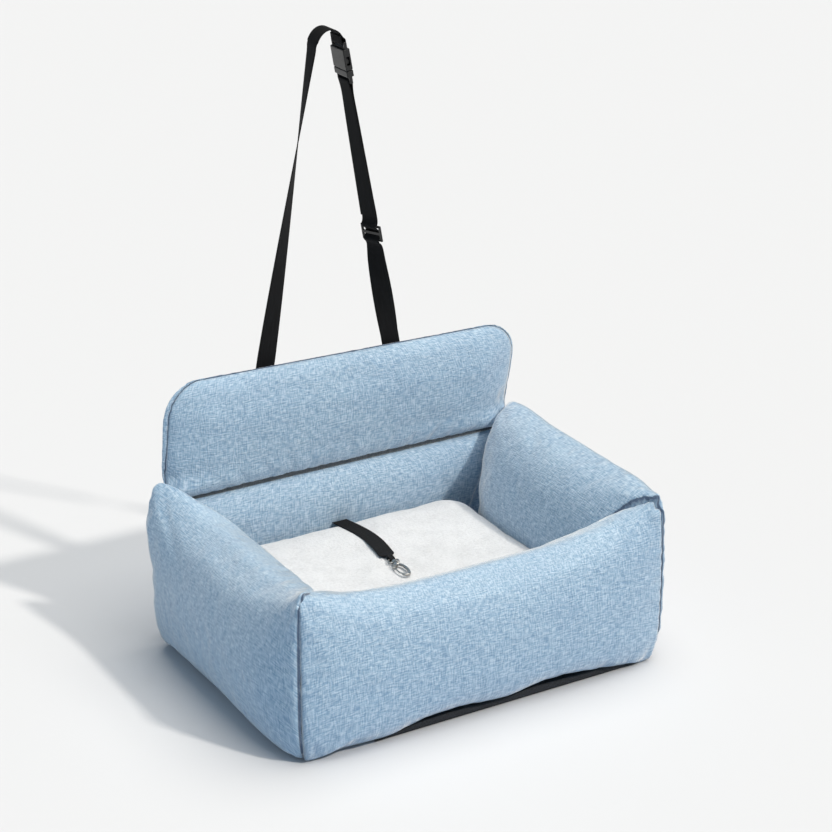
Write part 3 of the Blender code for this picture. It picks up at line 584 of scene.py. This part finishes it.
def cornerWork(piece):
    # each corner is filled out, drawn in along its seam with gathers across it, and ends in a tip
    shape = cornerShape
    for vert in piece.data.vertices:
        point, normal = vert.co.copy(), vert.normal.copy()
        side = 1 if point.x > 0 else -1
        fromSeam = hypot(abs(point.x) - bed["seamX"], point.y - bed["seamY"])
        if fromSeam > shape["worked"]:
            continue
        away = abs(onMitre(point))
        outward = Vector((side * shape["slant"], -shape["slant"], 0))
        foot = eased(point.z / shape["footTall"])
        near = bell(fromSeam, shape["seamReach"])
        point -= outward * shape["footRound"] * bell(fromSeam, shape["footReach"]) * (1 - foot)
        point += outward * shape["fill"] * bell(fromSeam, shape["round"]) * foot
        point -= outward * shape["seamDepth"] * bell(away, shape["seamWidth"]) * near
        gathered = ripple(point.z + 0.3 * side, 2)
        point += normal * shape["pucker"] * exp(-away / shape["puckerReach"]) * near * gathered
        # folds run out from the tip
        tip = Vector((side * bed["seamX"], bed["seamY"], bed["cornerTop"] - shape["tipBelow"]))
        spread = (point - tip).length
        turn = atan2(tip.z - point.z, away + shape["tipSoft"])
        fold = noise.noise(Vector((turn * shape["folds"], side, 3)))
        fold *= eased(spread / shape["foldStart"])
        fold *= exp(-spread / shape["foldReach"])
        point += normal * shape["foldDepth"] * fold
        share = bell((point - tip).length, shape["earReach"])
        vert.co = point + (outward * shape["earOut"] + Vector((0, 0, 1))) * shape["ear"] * share


def onFloor(piece, least=0.0004):
    for vert in piece.data.vertices:
        vert.co.z = max(vert.co.z, least)


def middled(share, power=3):
    # 1 over most of a bolster's length, 0 at its ends
    return max(1 - abs(2 * share - 1) ** power, 0)


# shares of a bolster's height, and depths from its seam's plane
crestShape = {"from": 0.4, "innerFrom": 0.3, "inner": 0.015, "innerSoft": 0.04, "outer": 0.05}
rollShape = {
    "front": {"roll": 0.032, "turn": 0.0, "bulge": 0.010, "sink": 0.010, "fat": 0.0},
    "left": {"roll": 0.036, "turn": 0.010, "bulge": 0.010, "sink": 0.010, "fat": 0.008},
    "right": {"roll": -0.004, "turn": 0.0, "bulge": 0.024, "sink": -0.032, "fat": 0.004},
}


def rolled(piece, shape, place):
    # the crest rolls inwards and sinks between the ends, and the inner face swells over the pad.
    # place gives a point's share along the bolster, its depth from the seam's plane, and the way in
    for vert in piece.data.vertices:
        point = vert.co
        share, depth, inwards = place(point)
        middle = middled(share)
        height = point.z / bed["cornerTop"]
        crest = max(height - crestShape["from"], 0) / (1 - crestShape["from"])
        rise = min(max((height - crestShape["innerFrom"]) / (1 - crestShape["innerFrom"]), 0), 1)
        swell = sin(pi * rise) * eased((depth - crestShape["inner"]) / crestShape["innerSoft"])
        stout = sin(pi * min(height, 1)) * eased((crestShape["outer"] - depth) / crestShape["outer"])
        over = (shape["roll"] + shape["turn"] * (share - 0.5)) * crest**2 * middle
        over += shape["bulge"] * swell * middled(share, 2)
        over -= shape["fat"] * stout * middled(share, 2)
        vert.co = point + inwards * over - Vector((0, 0, shape["sink"] * crest * middle))


def placeFront(point):
    return point.x / (2 * bed["seamX"]) + 0.5, point.y - bed["seamY"], Vector((0, 1, 0))


def placeSide(point):
    side = 1 if point.x > 0 else -1
    share = (point.y - bed["seamY"]) / (bed["backY"] - bed["seamY"])
    return min(share, 1), bed["seamX"] - abs(point.x), Vector((-side, 0, 0))


endShape = {
    "from": 0.060,  # where along y the end begins, and how far it takes to stand up
    "run": 0.125,
    "low": 0.11,
    "tall": 0.10,
    "outer": 0.255,
    "outerSoft": 0.040,
    -1: {"out": 0.006, "up": 0.007, "back": 0.012},
    1: {"out": 0.016, "up": 0.004, "back": 0.010},
}


def backEnd(piece, side):
    # a side bolster's back end stands up and closes round the flap's foot
    shape = endShape[side]
    for vert in piece.data.vertices:
        point = vert.co
        end = eased((point.y - endShape["from"]) / endShape["run"])
        end *= eased((point.z - endShape["low"]) / endShape["tall"])
        end *= eased((abs(point.x) - endShape["outer"]) / endShape["outerSoft"])
        vert.co = point + Vector((side * shape["out"], shape["back"], shape["up"])) * end


footShape = {
    "rise": 0.0115,
    "left": (-0.168, -0.100),  # where the arch starts and where it is full
    "right": (0.160, 0.262),  # where it begins to come down and where it ends
    "reach": 0.075,
    "slice": 0.012,
}


def footLine(x):
    # how high the front bolster's foot stands off the floor
    start, full = footShape["left"]
    end, gone = footShape["right"]
    return footShape["rise"] * eased((x - start) / (full - start)) * (1 - eased((x - end) / (gone - end)))


def footed(piece):
    # the foot comes down evenly, whatever it was
    lows = {}
    for vert in piece.data.vertices:
        place = round(vert.co.x / footShape["slice"])
        lows[place] = min(lows.get(place, 1), vert.co.z)
    for vert in piece.data.vertices:
        part = vert.co.x / footShape["slice"]
        first = int(part // 1)
        low = lows.get(first, 0)
        lowest = low + (lows.get(first + 1, low) - low) * (part - first)
        share = 1 - eased((vert.co.z - lowest) / footShape["reach"])
        vert.co.z += (footLine(vert.co.x) - lowest) * share


flap = {
    "right": 0.029,  # how far right of the middle its top stands
    "slope": 0.020,
    "level": 0.10,
    "lower": 0.009,
    "lip": 0.004,  # how far its foot comes down over the crease
    "lipReach": 0.05,
    "corner": 0.058,
    "seamIn": 0.007,
    "seamWidth": 0.0026,
    "seamDepth": 0.0028,
    "seamFoot": 0.01,  # the seam fades out above the foot
    "seamFade": 0.03,
    "finer": 2.4,  # how much thinner its seam is than a corner's
    "pucker": 0.0020,
    "puckerReach": 0.012,
    "pillow": 0.012,
    "pillowReach": 0.080,
    "back": 0.0045,  # how far its face stands back from the CAD's
}


def sewnOffCentre(piece):
    # the flap is sewn a little to the right, and its top slopes down that way
    for vert in piece.data.vertices:
        rise = eased((vert.co.z - flapLow.z) / (flapHigh.z - flapLow.z))
        vert.co.x += flap["right"] * (0.5 + 0.5 * rise)
        vert.co.z += flap["slope"] * rise * (flap["level"] - vert.co.x) - flap["lower"] * rise
        vert.co.z -= flap["lip"] * (1 - eased((vert.co.z - flapLow.z) / flap["lipReach"]))


def fromEdge(point):
    # how far in from the outline of the flap's face a point is
    middle = (flapLow.z + flapHigh.z) / 2
    half, tall = (flapHigh.x - flapLow.x) / 2, (flapHigh.z - flapLow.z) / 2
    radius = flap["corner"]
    outX, outZ = abs(point.x) - (half - radius), point.z - middle - (tall - radius)
    return radius - hypot(max(outX, 0), max(outZ, 0)) - min(max(outX, outZ), 0)


def edgeSeam(piece):
    # a seam runs round the flap's face, a little in from its edge, and gathers the cloth
    for vert in piece.data.vertices:
        point, normal = vert.co, vert.normal
        reach = fromEdge(point)
        foot = eased((point.z - flapLow.z - flap["seamFoot"]) / flap["seamFade"])
        line = bell(reach - flap["seamIn"], flap["seamWidth"])
        gathered = ripple(point.x + point.z, 5)
        gathered *= exp(-abs(reach - flap["seamIn"]) / flap["puckerReach"])
        front = 1 - eased((point.y - flapLow.y) / (flapHigh.y - flapLow.y))
        pillow = flap["pillow"] * (1 - eased(reach / flap["pillowReach"]))
        sunk = (pillow + flap["back"]) * front
        drawn = normal * (flap["pucker"] * gathered - flap["seamDepth"] * line)
        vert.co = point + (drawn + Vector((0, sunk, 0))) * foot


rear = {
    "foot": 0.190,  # where its right end begins to slant, at the foot and at the head
    "head": 0.276,
    "turn": 0.016,
    "back": 0.018,
    "swell": 0.008,
    "lip": 0.0015,
    "frontSoft": 0.03,
    "lipReach": 0.03,
}


def wallEnd(piece):
    # the back wall's right end slants away behind the bolster, into shade
    for vert in piece.data.vertices:
        end = rear["foot"] + (rear["head"] - rear["foot"]) * vert.co.z / wallHigh.z
        front = 1 - eased((vert.co.y - wallLow.y) / rear["frontSoft"])
        vert.co.y += rear["back"] * eased((vert.co.x - end) / rear["turn"]) * front
        height = min(max((vert.co.z - padHigh.z) / (wallHigh.z - padHigh.z), 0), 1)
        lip = eased((vert.co.z - wallHigh.z + rear["lipReach"]) / rear["lipReach"])
        vert.co.z += rear["lip"] * lip
        middle = middled(vert.co.x / (2 * bed["seamX"]) + 0.5)
        vert.co.y -= rear["swell"] * sin(pi * height) * front * middle


pad = {
    "edge": 0.012,
    "rise": 0.0052,
    "mounds": 0.0016,
    "broad": 14,  # mounds across a metre
    "narrow": 45,
    "narrowShare": 0.4,
    "back": 0.0045,
    "backReach": 0.03,
    "below": 0.0012,  # how far under the tether's middle the pile lies
    "pressed": 0.55,  # how much of the tether's width is pressed on each side
    "pressedSoft": 0.025,
    "pressedSpan": (-0.1, 1.3),  # from before the tether's root to past its end
    "hookRoom": -0.0045,  # the pile lies a little lower round the hook
    "hookReach": 0.024,
}


def moundsAt(point):
    broad, narrow = pad["broad"], pad["narrow"]
    small = noise.noise(Vector((point.x * narrow, point.y * narrow, 8)))
    return noise.noise(Vector((point.x * broad, point.y * broad, 3))) + pad["narrowShare"] * small


def plumped(piece):
    # the plush stands up to the tether that lies on it, fills out to the wall, and is never quite flat
    middle = (padLow.z + padHigh.z) / 2
    root, end = tether["root"], tether["end"]
    first, last = pad["pressedSpan"]
    room = (hookLow.z + hookHigh.z) / 2 - (hookHigh.x - hookLow.x) / 2 - pad["hookRoom"]
    for vert in piece.data.vertices:
        point = vert.co
        rise = eased((point.z - middle) / pad["edge"])
        point.z += rise * (pad["rise"] + pad["mounds"] * moundsAt(point))
        back = eased((point.y - padHigh.y + pad["backReach"]) / pad["backReach"])
        point.y += pad["back"] * back
        share = (root.y - point.y) / (root.y - end.y)
        middleX = root.x + tether["bow"] * sin(pi * min(max(share, 0), 1))
        aside = abs(point.x - middleX) - tether["width"] * pad["pressed"]
        under = root.z + (end.z - root.z) * share - pad["below"]
        if first < share < last and point.z > under:
            point.z = under + (point.z - under) * eased(aside / pad["pressedSoft"])
        gapX = max(hookLow.x - point.x, point.x - hookHigh.x, 0)
        gapY = max(hookLow.y - point.y, point.y - hookHigh.y, 0)
        if point.z > room:
            point.z = room + (point.z - room) * eased(hypot(gapX, gapY) / pad["hookReach"])
        vert.co = point


def overRidge(place, ridge, axis):
    # along the bolster, and up the outer side, over the ridge and down inside
    def rule(point):
        depth = place(point)[1]
        side = min(max((depth - ridge) / bed["ridgeSoft"], -1), 1)
        return point[axis], depth + side * (bed["cornerTop"] - point.z)

    return rule


panelMap = {"across": 0.15, "up": 0.05}  # how far from its middle a panel's side is laid fully out


def overPanel(lowest, highest):
    # a flat cushion's faces, unrolled over its edges
    centreX, centreZ = (lowest.x + highest.x) / 2, (lowest.z + highest.z) / 2

    def rule(point):
        deep = point.y - lowest.y
        across = point.x + deep * max(-1, min(1, (point.x - centreX) / panelMap["across"]))
        return across, point.z + deep * max(-1, min(1, (point.z - centreZ) / panelMap["up"]))

    return rule


for piece in (frontBolster, leftBolster, rightBolster):
    seamed(piece, onMitre)
    cornerWork(piece)
    onFloor(piece)
footed(frontBolster)
onFloor(frontBolster)
rolled(frontBolster, rollShape["front"], placeFront)
rolled(leftBolster, rollShape["left"], placeSide)
rolled(rightBolster, rollShape["right"], placeSide)
backEnd(leftBolster, -1)
backEnd(rightBolster, 1)
seamed(backrest, lambda point: flap["finer"] * (fromEdge(point) - flap["seamIn"]))
seamed(backWall)
edgeSeam(backrest)
sewnOffCentre(backrest)
wallEnd(backWall)
plumped(plushPad)
clothMap(frontBolster, overRidge(placeFront, bed["ridgeFront"], 0))
clothMap(leftBolster, overRidge(placeSide, bed["ridgeLeft"], 1))
clothMap(rightBolster, overRidge(placeSide, bed["ridgeRight"], 1))
clothMap(backWall, overPanel(wallLow, wallHigh))
clothMap(backrest, overPanel(flapLow, flapHigh))
dressed(frontBolster, blueLinen, "bed", ["front_bolster_cover", "front_bolster_filling"])
dressed(leftBolster, blueLinen, "bed", ["left_bolster_cover", "left_bolster_filling"])
dressed(rightBolster, blueLinen, "bed", ["right_bolster_cover", "right_bolster_filling"])
dressed(backWall, blueLinen, "bed", ["back_wall_cover", "back_wall_filling"])
dressed(backrest, blueLinen, "backrest", ["backrest_cover", "backrest_filling"])
dressed(plushPad, whitePlush, "bed", ["pad_cover", "pad_filling"])
print("stuffed pieces dressed")


strap = {
    "width": 0.030,
    "thickness": 0.0015,
    "edge": 0.3,  # how much of the thickness its edges are rounded by
    "look": 0.003,  # its line is read over this share either side
    "across": 6,  # faces across its width
    "steps": 220,
    "planeY": 0.2270,  # the strap hangs in this upright plane
    "anchorZ": 0.372,
    "leftX": -0.103,
    "leftLean": 0.1832,
    "rightX": 0.115,
    "lean": radians(10),
    "peakStart": (-0.0150, 0.845),
    "peakZ": 0.877,
    "peakEnd": radians(36),
    "peakPart": 0.85,  # past this share of its length it has turned fully
    "joinZ": 0.816,  # where the buckle's halves meet
    "socketLength": 0.0420,
    "socketClear": 1.5,  # how many windings above the bar the webbing comes straight
    "plugLength": 0.0200,
    "barRadius": 0.0022,
    "tail": 0.012,
    "twistStart": 0.400,
    "twistStop": 0.790,
    "slideZ": 0.562,
    "slideTurn": radians(108),
    "slideStill": 0.015,
    "slideBump": 0.0031,  # how far the webbing steps over the slider's bars
    "slideBars": (0.0030, 0.0095, 0.0125),  # where it does, from the slider's middle
    "slideBelow": 0.022,
    "slideAbove": 0.024,  # from here up the webbing is doubled
    "slideTail": 0.027,
    "plugBelow": 0.020,
    "slackFoot": 0.035,  # the span meant to give when the plug goes down, which nothing moves: from here above the slider
    "slackTop": 0.030,  # to here below the plug's bar
    "layer": 0.0012,
    "gap": 0.0003,
}
legUp = Vector((-sin(strap["lean"]), 0, cos(strap["lean"])))
legOut = Vector((cos(strap["lean"]), 0, sin(strap["lean"])))
around = strap["thickness"] / 2 + strap["barRadius"] + strap["gap"]
joinHeight = (strap["joinZ"] - strap["anchorZ"]) / legUp.z
socketBar = joinHeight + strap["socketLength"] - strap["barRadius"]
plugBar = joinHeight - strap["gap"] - strap["plugLength"] + strap["barRadius"]


def ribbon(name, route, width, steps, body, replaced):
    # a grid of webbing laid along a route, which gives a point and the way across at each share
    bm = bmesh.new()
    layer = bm.loops.layers.uv.new("cloth")
    bmesh.ops.create_grid(bm, x_segments=steps, y_segments=strap["across"], size=0.5)
    shares = {vert: (vert.co.x + 0.5, vert.co.y) for vert in bm.verts}
    length, last, lengths = 0, None, {}
    for share in sorted({round(place[0], 6) for place in shares.values()}):
        point = route(share)[0]
        length += (point - last).length if last is not None else 0
        lengths[share], last = length, point
    for face in bm.faces:
        for loop in face.loops:
            share, across = shares[loop.vert]
            loop[layer].uv = (lengths[round(share, 6)], across * width)
    for vert, (share, across) in shares.items():
        point, side = route(share)
        vert.co = point + side * across * width
    piece = pieceFrom(bm, name)
    wall = piece.modifiers.new("thickness", "SOLIDIFY")
    wall.thickness = strap["thickness"]
    wall.offset = 0
    edge = piece.modifiers.new("edges", "BEVEL")
    edge.width = strap["thickness"] * strap["edge"]
    edge.segments = 2
    edge.limit_method = "ANGLE"
    edge.angle_limit = radians(50)
    dressed(piece, blackWebbing, body, replaced, levels=0)


def alongPoints(points):
    # a smooth curve through the points, by share of its length
    lengths = [0]
    for first, second in zip(points, points[1:]):
        lengths.append(lengths[-1] + (second - first).length)

    def at(share):
        reach = min(max(share, 0), 1) * lengths[-1]
        index = max(i for i in range(len(points) - 1) if lengths[i] <= reach + 1e-9)
        part = (reach - lengths[index]) / (lengths[index + 1] - lengths[index])
        a, b = points[max(index - 1, 0)], points[index]
        c, d = points[index + 1], points[min(index + 2, len(points) - 1)]
        square, cube = 2 * a - 5 * b + 4 * c - d, 3 * b - 3 * c + d - a
        return 0.5 * (2 * b + (c - a) * part + square * part**2 + cube * part**3)

    return at


def onLeg(height, out=0.0):
    return Vector((strap["rightX"], strap["planeY"], strap["anchorZ"])) + legUp * height + legOut * out


def turned(angle):
    return Vector((cos(angle), sin(angle), 0))


def squareTo(side, curve, share):
    # the way across, made square to the strap's own line
    look = strap["look"]
    ahead = (curve(min(share + look, 1)) - curve(max(share - look, 0))).normalized()
    return (side - ahead * side.dot(ahead)).normalized()


def roundBar(bar, way):
    # the webbing's half turn over a bar, or under it where way is -1, as heights and offsets
    turns = [pi * k / 6 for k in range(7)]
    return [(bar + way * around * sin(turn), around * cos(turn)) for turn in turns]


def leftStrap():
    # up from its patch, over the peak and round the socket's bar
    startX, startZ = strap["peakStart"]
    points = []
    for k in range(12):
        share = k / 12
        x = strap["leftX"] + share * (startX - strap["leftX"])
        z = strap["anchorZ"] + strap["gap"] + share * (startZ - strap["anchorZ"])
        points.append(Vector((x, strap["planeY"], z)))
    endX = onLeg(socketBar).x + around
    middleX, reachX = (startX + endX) / 2, (endX - startX) / 2
    for k in range(9):
        angle = pi - (pi - strap["peakEnd"]) * k / 8
        z = startZ + (strap["peakZ"] - startZ) * sin(angle)
        points.append(Vector((middleX + reachX * cos(angle), strap["planeY"], z)))
    points.append(onLeg(socketBar + strap["socketClear"] * around, around))
    points += [onLeg(*place) for place in roundBar(socketBar, -1)]
    points.append(onLeg(socketBar + strap["tail"], -around))
    curve = alongPoints(points)

    def route(share):
        point = curve(share)
        rise = min(max((point.z - strap["twistStart"]) / (strap["peakZ"] - strap["twistStart"]), 0), 1)
        angle = pi / 2 * rise if share < strap["peakPart"] else pi / 2
        return point, squareTo(turned(angle), curve, share)

    ribbon("leftStrap", route, strap["width"], strap["steps"], "strap", ["left_strap_webbing"])


def rightTurn(height):
    # how far the right webbing is turned: still in the slider, square to the bed at the plug
    high, low = strap["slideZ"] + strap["slideStill"], strap["slideZ"] - strap["slideStill"]
    if height > high:
        fall = max(strap["twistStop"] - height, 0) / (strap["twistStop"] - high)
        return pi / 2 + (strap["slideTurn"] - pi / 2) * fall
    share = max(low - height, 0) / (low - strap["twistStart"])
    return strap["slideTurn"] + (pi - strap["slideTurn"]) * min(share, 1)


def rightStrap():
    # up from its patch, through the slider, round the plug's bar and back down to the slider
    slide = (strap["slideZ"] - strap["anchorZ"]) / legUp.z
    bump, layer = strap["slideBump"], strap["layer"]
    inner, outer, past = strap["slideBars"]
    start, run = slide + strap["slideAbove"], plugBar - strap["plugBelow"] - strap["slideAbove"] - slide
    doubled = [start + k * run / 5 for k in range(1, 6)]
    heights = [(strap["gap"], 0), (slide * 0.25, 0), (slide * 0.5, 0), (slide * 0.75, 0)]
    heights += [(slide - strap["slideBelow"], layer), (slide - past, -bump), (slide - outer, -bump)]
    heights += [(slide - inner, bump), (slide + inner, bump)]
    heights += [(slide + outer, -bump), (slide + past, -bump), (start, layer)]
    heights += [(height, layer) for height in doubled]
    heights += roundBar(plugBar, 1)
    heights += [(height, -layer) for height in reversed(doubled)]
    heights.append((slide + strap["slideTail"], -layer))
    points = []
    for height, out in heights:
        spot = onLeg(height)
        points.append(spot + turned(rightTurn(spot.z)).cross(legUp).normalized() * out)
    curve = alongPoints(points)

    def route(share):
        point = curve(share)
        return point, squareTo(turned(rightTurn(point.z)), curve, share)

    # the span from above the slider to below the plug's bar is worked out, but the webbing is baked in
    # place and does not go down with the plug when the buckle opens
    slackFoot, slackTop = onLeg(slide + strap["slackFoot"]), onLeg(plugBar - strap["slackTop"])
    follows = ("strap", "plug", tuple(slackFoot), tuple(slackTop))
    ribbon("rightStrap", route, strap["width"], 2 * strap["steps"], follows, ["right_strap_webbing"])


patch = {
    "length": 0.045,
    "off": 0.0002,
    "bend": 3,  # it reaches the cloth after a third of its length
    "steps": 24,
    "sewn": (0.30, 0.94),  # the stitched box, by share of its length
}


def strapPatch(name, x, lean, cadNode):
    # the webbing's sewn end on the back of the flap
    down = Vector((-sin(lean), 0, -cos(lean)))
    side = Vector((cos(lean), 0, -sin(lean)))
    top = Vector((x, strap["planeY"], strap["anchorZ"]))
    flat = flapHigh.y + patch["off"] + strap["thickness"] / 2

    def route(share):
        point = top + down * patch["length"] * share
        point.y = flat + (strap["planeY"] - flat) * eased(1 - patch["bend"] * share)
        return point, side

    ribbon(name, route, strap["width"], patch["steps"], "backrest", [cadNode])
    stitched(name + "Stitches", route)


stitch = {
    "length": 0.0030,
    "step": 0.0042,
    "radius": 0.00035,
    "inset": 0.0025,
    "look": 0.02,
    "sides": 6,
    "rings": 4,
}


def stitched(name, route):
    # a sewn box with its cross, of short threads on the webbing's outer face
    bm = bmesh.new()
    half = strap["width"] / 2 - stitch["inset"]
    start, end = patch["sewn"]
    box = [(start, -half), (end, -half), (end, half), (start, half)]
    lines = list(zip(box, box[1:] + box[:1])) + [(box[0], box[2]), (box[1], box[3])]
    for first, second in lines:
        begin, finish = spotOn(route, *first), spotOn(route, *second)
        count = max(int((finish - begin).length / stitch["step"]), 1)
        for k in range(count):
            part = (k + 0.5) / count
            share = first[0] + (second[0] - first[0]) * part
            across = first[1] + (second[1] - first[1]) * part
            lift = outward(route, share) * (strap["thickness"] / 2)
            thread(bm, spotOn(route, share, across) + lift, (finish - begin).normalized())
    dressed(pieceFrom(bm, name), blackThread, "backrest", [], levels=0)


def spotOn(route, share, across):
    point, side = route(share)
    return point + side * across


def outward(route, share):
    look = stitch["look"]
    ahead = (route(min(share + look, 1))[0] - route(max(share - look, 0))[0]).normalized()
    out = route(share)[1].cross(ahead)
    return out if out.y + out.z > 0 else -out


def thread(bm, centre, ahead):
    sides, rings = stitch["sides"], stitch["rings"]
    made = bmesh.ops.create_uvsphere(bm, u_segments=sides, v_segments=rings, radius=stitch["radius"])
    stretch = Matrix.Diagonal((1, 1, stitch["length"] / 2 / stitch["radius"], 1))
    turn = ahead.to_track_quat("Z", "X").to_matrix().to_4x4()
    bmesh.ops.transform(bm, matrix=Matrix.Translation(centre) @ turn @ stretch, verts=made["verts"])


leftStrap()
rightStrap()
strapPatch("leftPatch", strap["leftX"], strap["leftLean"], "left_strap_patch")
strapPatch("rightPatch", strap["rightX"], -strap["lean"], "right_strap_patch")
print("headrest strap made")


def tetherStrap():
    # from the wall, over the pad in a shallow bow, narrowed and folded through the swivel eye
    ahead = Vector((-sin(tether["yaw"]), -cos(tether["yaw"]), 0))
    across = Vector((-cos(tether["yaw"]), sin(tether["yaw"]), 0))
    up = Vector((0, 0, 1))
    end, radius = tether["end"], tether["foldRadius"]
    start = tether["root"] - Vector((0, strap["thickness"], 0))
    last = end - ahead * tether["straight"]
    points = [start]
    for share in tether["bowShares"]:
        point = start.lerp(last, share)
        point.x += tether["bow"] * sin(pi * share)
        points.append(point)
    points.append(end - ahead * tether["foldBefore"] + up * radius)
    turns = (pi / 2, pi / 4, 0, -pi / 4, -pi / 2)
    points += [end + radius * (ahead * cos(turn) + up * sin(turn)) for turn in turns]
    points.append(end - ahead * tether["tail"] - up * (radius - tether["tailLift"]))
    curve = alongPoints(points)
    full = start.y - last.y

    def route(share):
        point = curve(share)
        done = eased((start.y - point.y - full) / tether["narrowing"])
        narrow = 1 - (1 - tether["fold"] / tether["width"]) * done
        return point, Vector((-1, 0, 0)).lerp(across, done).normalized() * narrow

    ribbon("tetherStrap", route, tether["width"], tether["steps"], "tether", ["tether_webbing"])


def tetherRoot():
    # its end, sewn flat on the wall
    foot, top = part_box("tether_root")

    def route(share):
        height = foot.z + (top.z - foot.z) * share
        return Vector((tether["root"].x, tether["root"].y, height)), Vector((1, 0, 0))

    ribbon("tetherRoot", route, tether["width"], 12, "bed", ["tether_root"])


tetherStrap()
tetherRoot()
print("tether made")


# What stays as the CAD made it gets its finish
for name, surface in (
    ("buckle_socket", blackPlastic),
    ("buckle_plug", blackPlastic),
    ("strap_slider", blackPlastic),
    ("swivel_eye", nickel),
    ("hook_body", nickel),
    ("gate_pin", nickel),
    ("hook_gate", nickel),
):
    nodes[name].data.materials.clear()
    nodes[name].data.materials.append(surface)


def softBlock(name, lowest, highest, rounding, segments=4):
    # a block with rounded edges, and its cloth laid over the top and down the front
    bm = bmesh.new()
    bmesh.ops.create_cube(bm, size=1)
    bmesh.ops.scale(bm, vec=highest - lowest, verts=bm.verts)
    bmesh.ops.translate(bm, vec=(highest + lowest) / 2, verts=bm.verts)
    bmesh.ops.bevel(
        bm, geom=bm.edges, offset=rounding, segments=segments, profile=0.5, affect="EDGES", material=-1)
    piece = pieceFrom(bm, name)
    clothMap(piece, lambda point: (point.x, point.y + point.z))
    return piece


under = {
    "deckRound": 0.006,
    "panelRound": 0.0006,
    "shadeLipLow": Vector((-0.176, -0.224, 0.0006)),
    "shadeLipHigh": Vector((0.268, -0.140, 0.0120)),
    "shadeLipRound": 0.004,
}
hinge = {"front": 0.196, "low": 0.2145, "high": 0.2285, "longer": 0.014, "round": 0.004}


def hingeSeam():
    # the folded cloth that the flap is sewn on by, deep in the crease, painted nearly black as painted
    # shade for the crease
    lowest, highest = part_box("hinge_piping")
    lowest.y, lowest.z = hinge["front"], hinge["low"]
    highest.x += hinge["longer"]
    highest.z = hinge["high"]
    piece = softBlock("hingeSeam", lowest, highest, hinge["round"])
    seamed(piece)
    dressed(piece, creaseShadeLinen, "bed", ["hinge_piping"], levels=0)


baseDeck = softBlock("baseDeck", *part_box("base_foam"), under["deckRound"])
dressed(baseDeck, blackNonwoven, "bed", ["base_foam"], levels=0)
underPanel = softBlock("underPanel", *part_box("underside_panel"), under["panelRound"], 2)
dressed(underPanel, blackNonwoven, "bed", ["underside_panel"], levels=0)
# the same black cloth turns up behind the front bolster's foot: partly the real underside, partly painted
# shade filling the dark band under the arch
underShadeLip = softBlock("underShadeLip", under["shadeLipLow"], under["shadeLipHigh"], under["shadeLipRound"])
dressed(underShadeLip, blackNonwoven, "bed", [], levels=0)
hingeSeam()
print("base made")


studio = {
    "eye": Vector((-1.5911, -2.7062, 1.6695)),
    "aim": Vector((0.0060, -0.0271, 0.3750)),
    "lens": 103.85,
    "floor": 20,
    "paper": (0.640, 0.654, 0.680, 1),  # the floor as the camera sees it
    "bounce": (0.46, 0.55, 0.66, 1),  # the floor as the bed sees it
    "glow": 0.02,  # how much of the paper's white is its own
    "world": 0.12,
    "sky": (0.66, 0.84, 1.0, 1),
}
suns = {
    "key": {"strength": 2.0, "angle": 4, "colour": (1, 0.93, 0.84), "from": (0.349, -0.629, 0.695)},
    "left": {"strength": 0.5, "angle": 90, "colour": (0.68, 0.87, 1), "from": (-0.85, -0.10, 0.70)},
    "top": {"strength": 2.7, "angle": 60, "colour": (1, 0.955, 0.89), "from": (0.25, -0.05, 1.0)},
}


def sun(name, setting):
    light = bpy.data.lights.new(name, "SUN")
    light.energy = setting["strength"]
    light.color = setting["colour"]
    light.angle = radians(setting["angle"])
    lamp = bpy.data.objects.new(name, light)
    lamp.rotation_mode = "QUATERNION"
    lamp.rotation_quaternion = Vector(setting["from"]).to_track_quat("Z", "Y")
    scene.collection.objects.link(lamp)


def paperCloth():
    # the camera and gloss see white paper, partly its own even white. The bed gets a greyer bounce
    material = bpy.data.materials.new("paper")
    material.use_nodes = True
    tree = material.node_tree
    tree.nodes.clear()
    path = tree.nodes.new("ShaderNodeLightPath")
    seen = maths(tree, "MAXIMUM", path.outputs["Is Camera Ray"], path.outputs["Is Glossy Ray"])
    seen = maths(tree, "MAXIMUM", seen, path.outputs["Is Transmission Ray"])
    lit = tree.nodes.new("ShaderNodeBsdfDiffuse")
    tree.links.new(ramp(tree, seen, [(0, studio["bounce"]), (1, studio["paper"])]), lit.inputs["Color"])
    even = tree.nodes.new("ShaderNodeEmission")
    even.inputs["Color"].default_value = studio["paper"]
    both = tree.nodes.new("ShaderNodeMixShader")
    tree.links.new(maths(tree, "MULTIPLY", seen, studio["glow"]), both.inputs["Fac"])
    tree.links.new(lit.outputs["BSDF"], both.inputs[1])
    tree.links.new(even.outputs["Emission"], both.inputs[2])
    output = tree.nodes.new("ShaderNodeOutputMaterial")
    tree.links.new(both.outputs["Shader"], output.inputs["Surface"])
    return material


def backdrop():
    bm = bmesh.new()
    bmesh.ops.create_grid(bm, x_segments=1, y_segments=1, size=studio["floor"])
    floor = pieceFrom(bm, "paperFloor")
    floor.data.materials.append(paperCloth())


def world():
    made = bpy.data.worlds.new("studio")
    scene.world = made
    made.use_nodes = True
    background = made.node_tree.nodes["Background"]
    background.inputs["Color"].default_value = studio["sky"]
    background.inputs["Strength"].default_value = studio["world"]


def camera():
    lens = bpy.data.cameras.new("camera")
    lens.lens = studio["lens"]
    lens.sensor_width = 36
    made = bpy.data.objects.new("camera", lens)
    made.location = studio["eye"]
    made.rotation_mode = "QUATERNION"
    made.rotation_quaternion = (studio["aim"] - studio["eye"]).to_track_quat("-Z", "Y")
    scene.collection.objects.link(made)
    scene.camera = made


backdrop()
world()
for name, setting in suns.items():
    sun(name, setting)
camera()
scene.view_settings.view_transform = "Standard"
print("studio set")
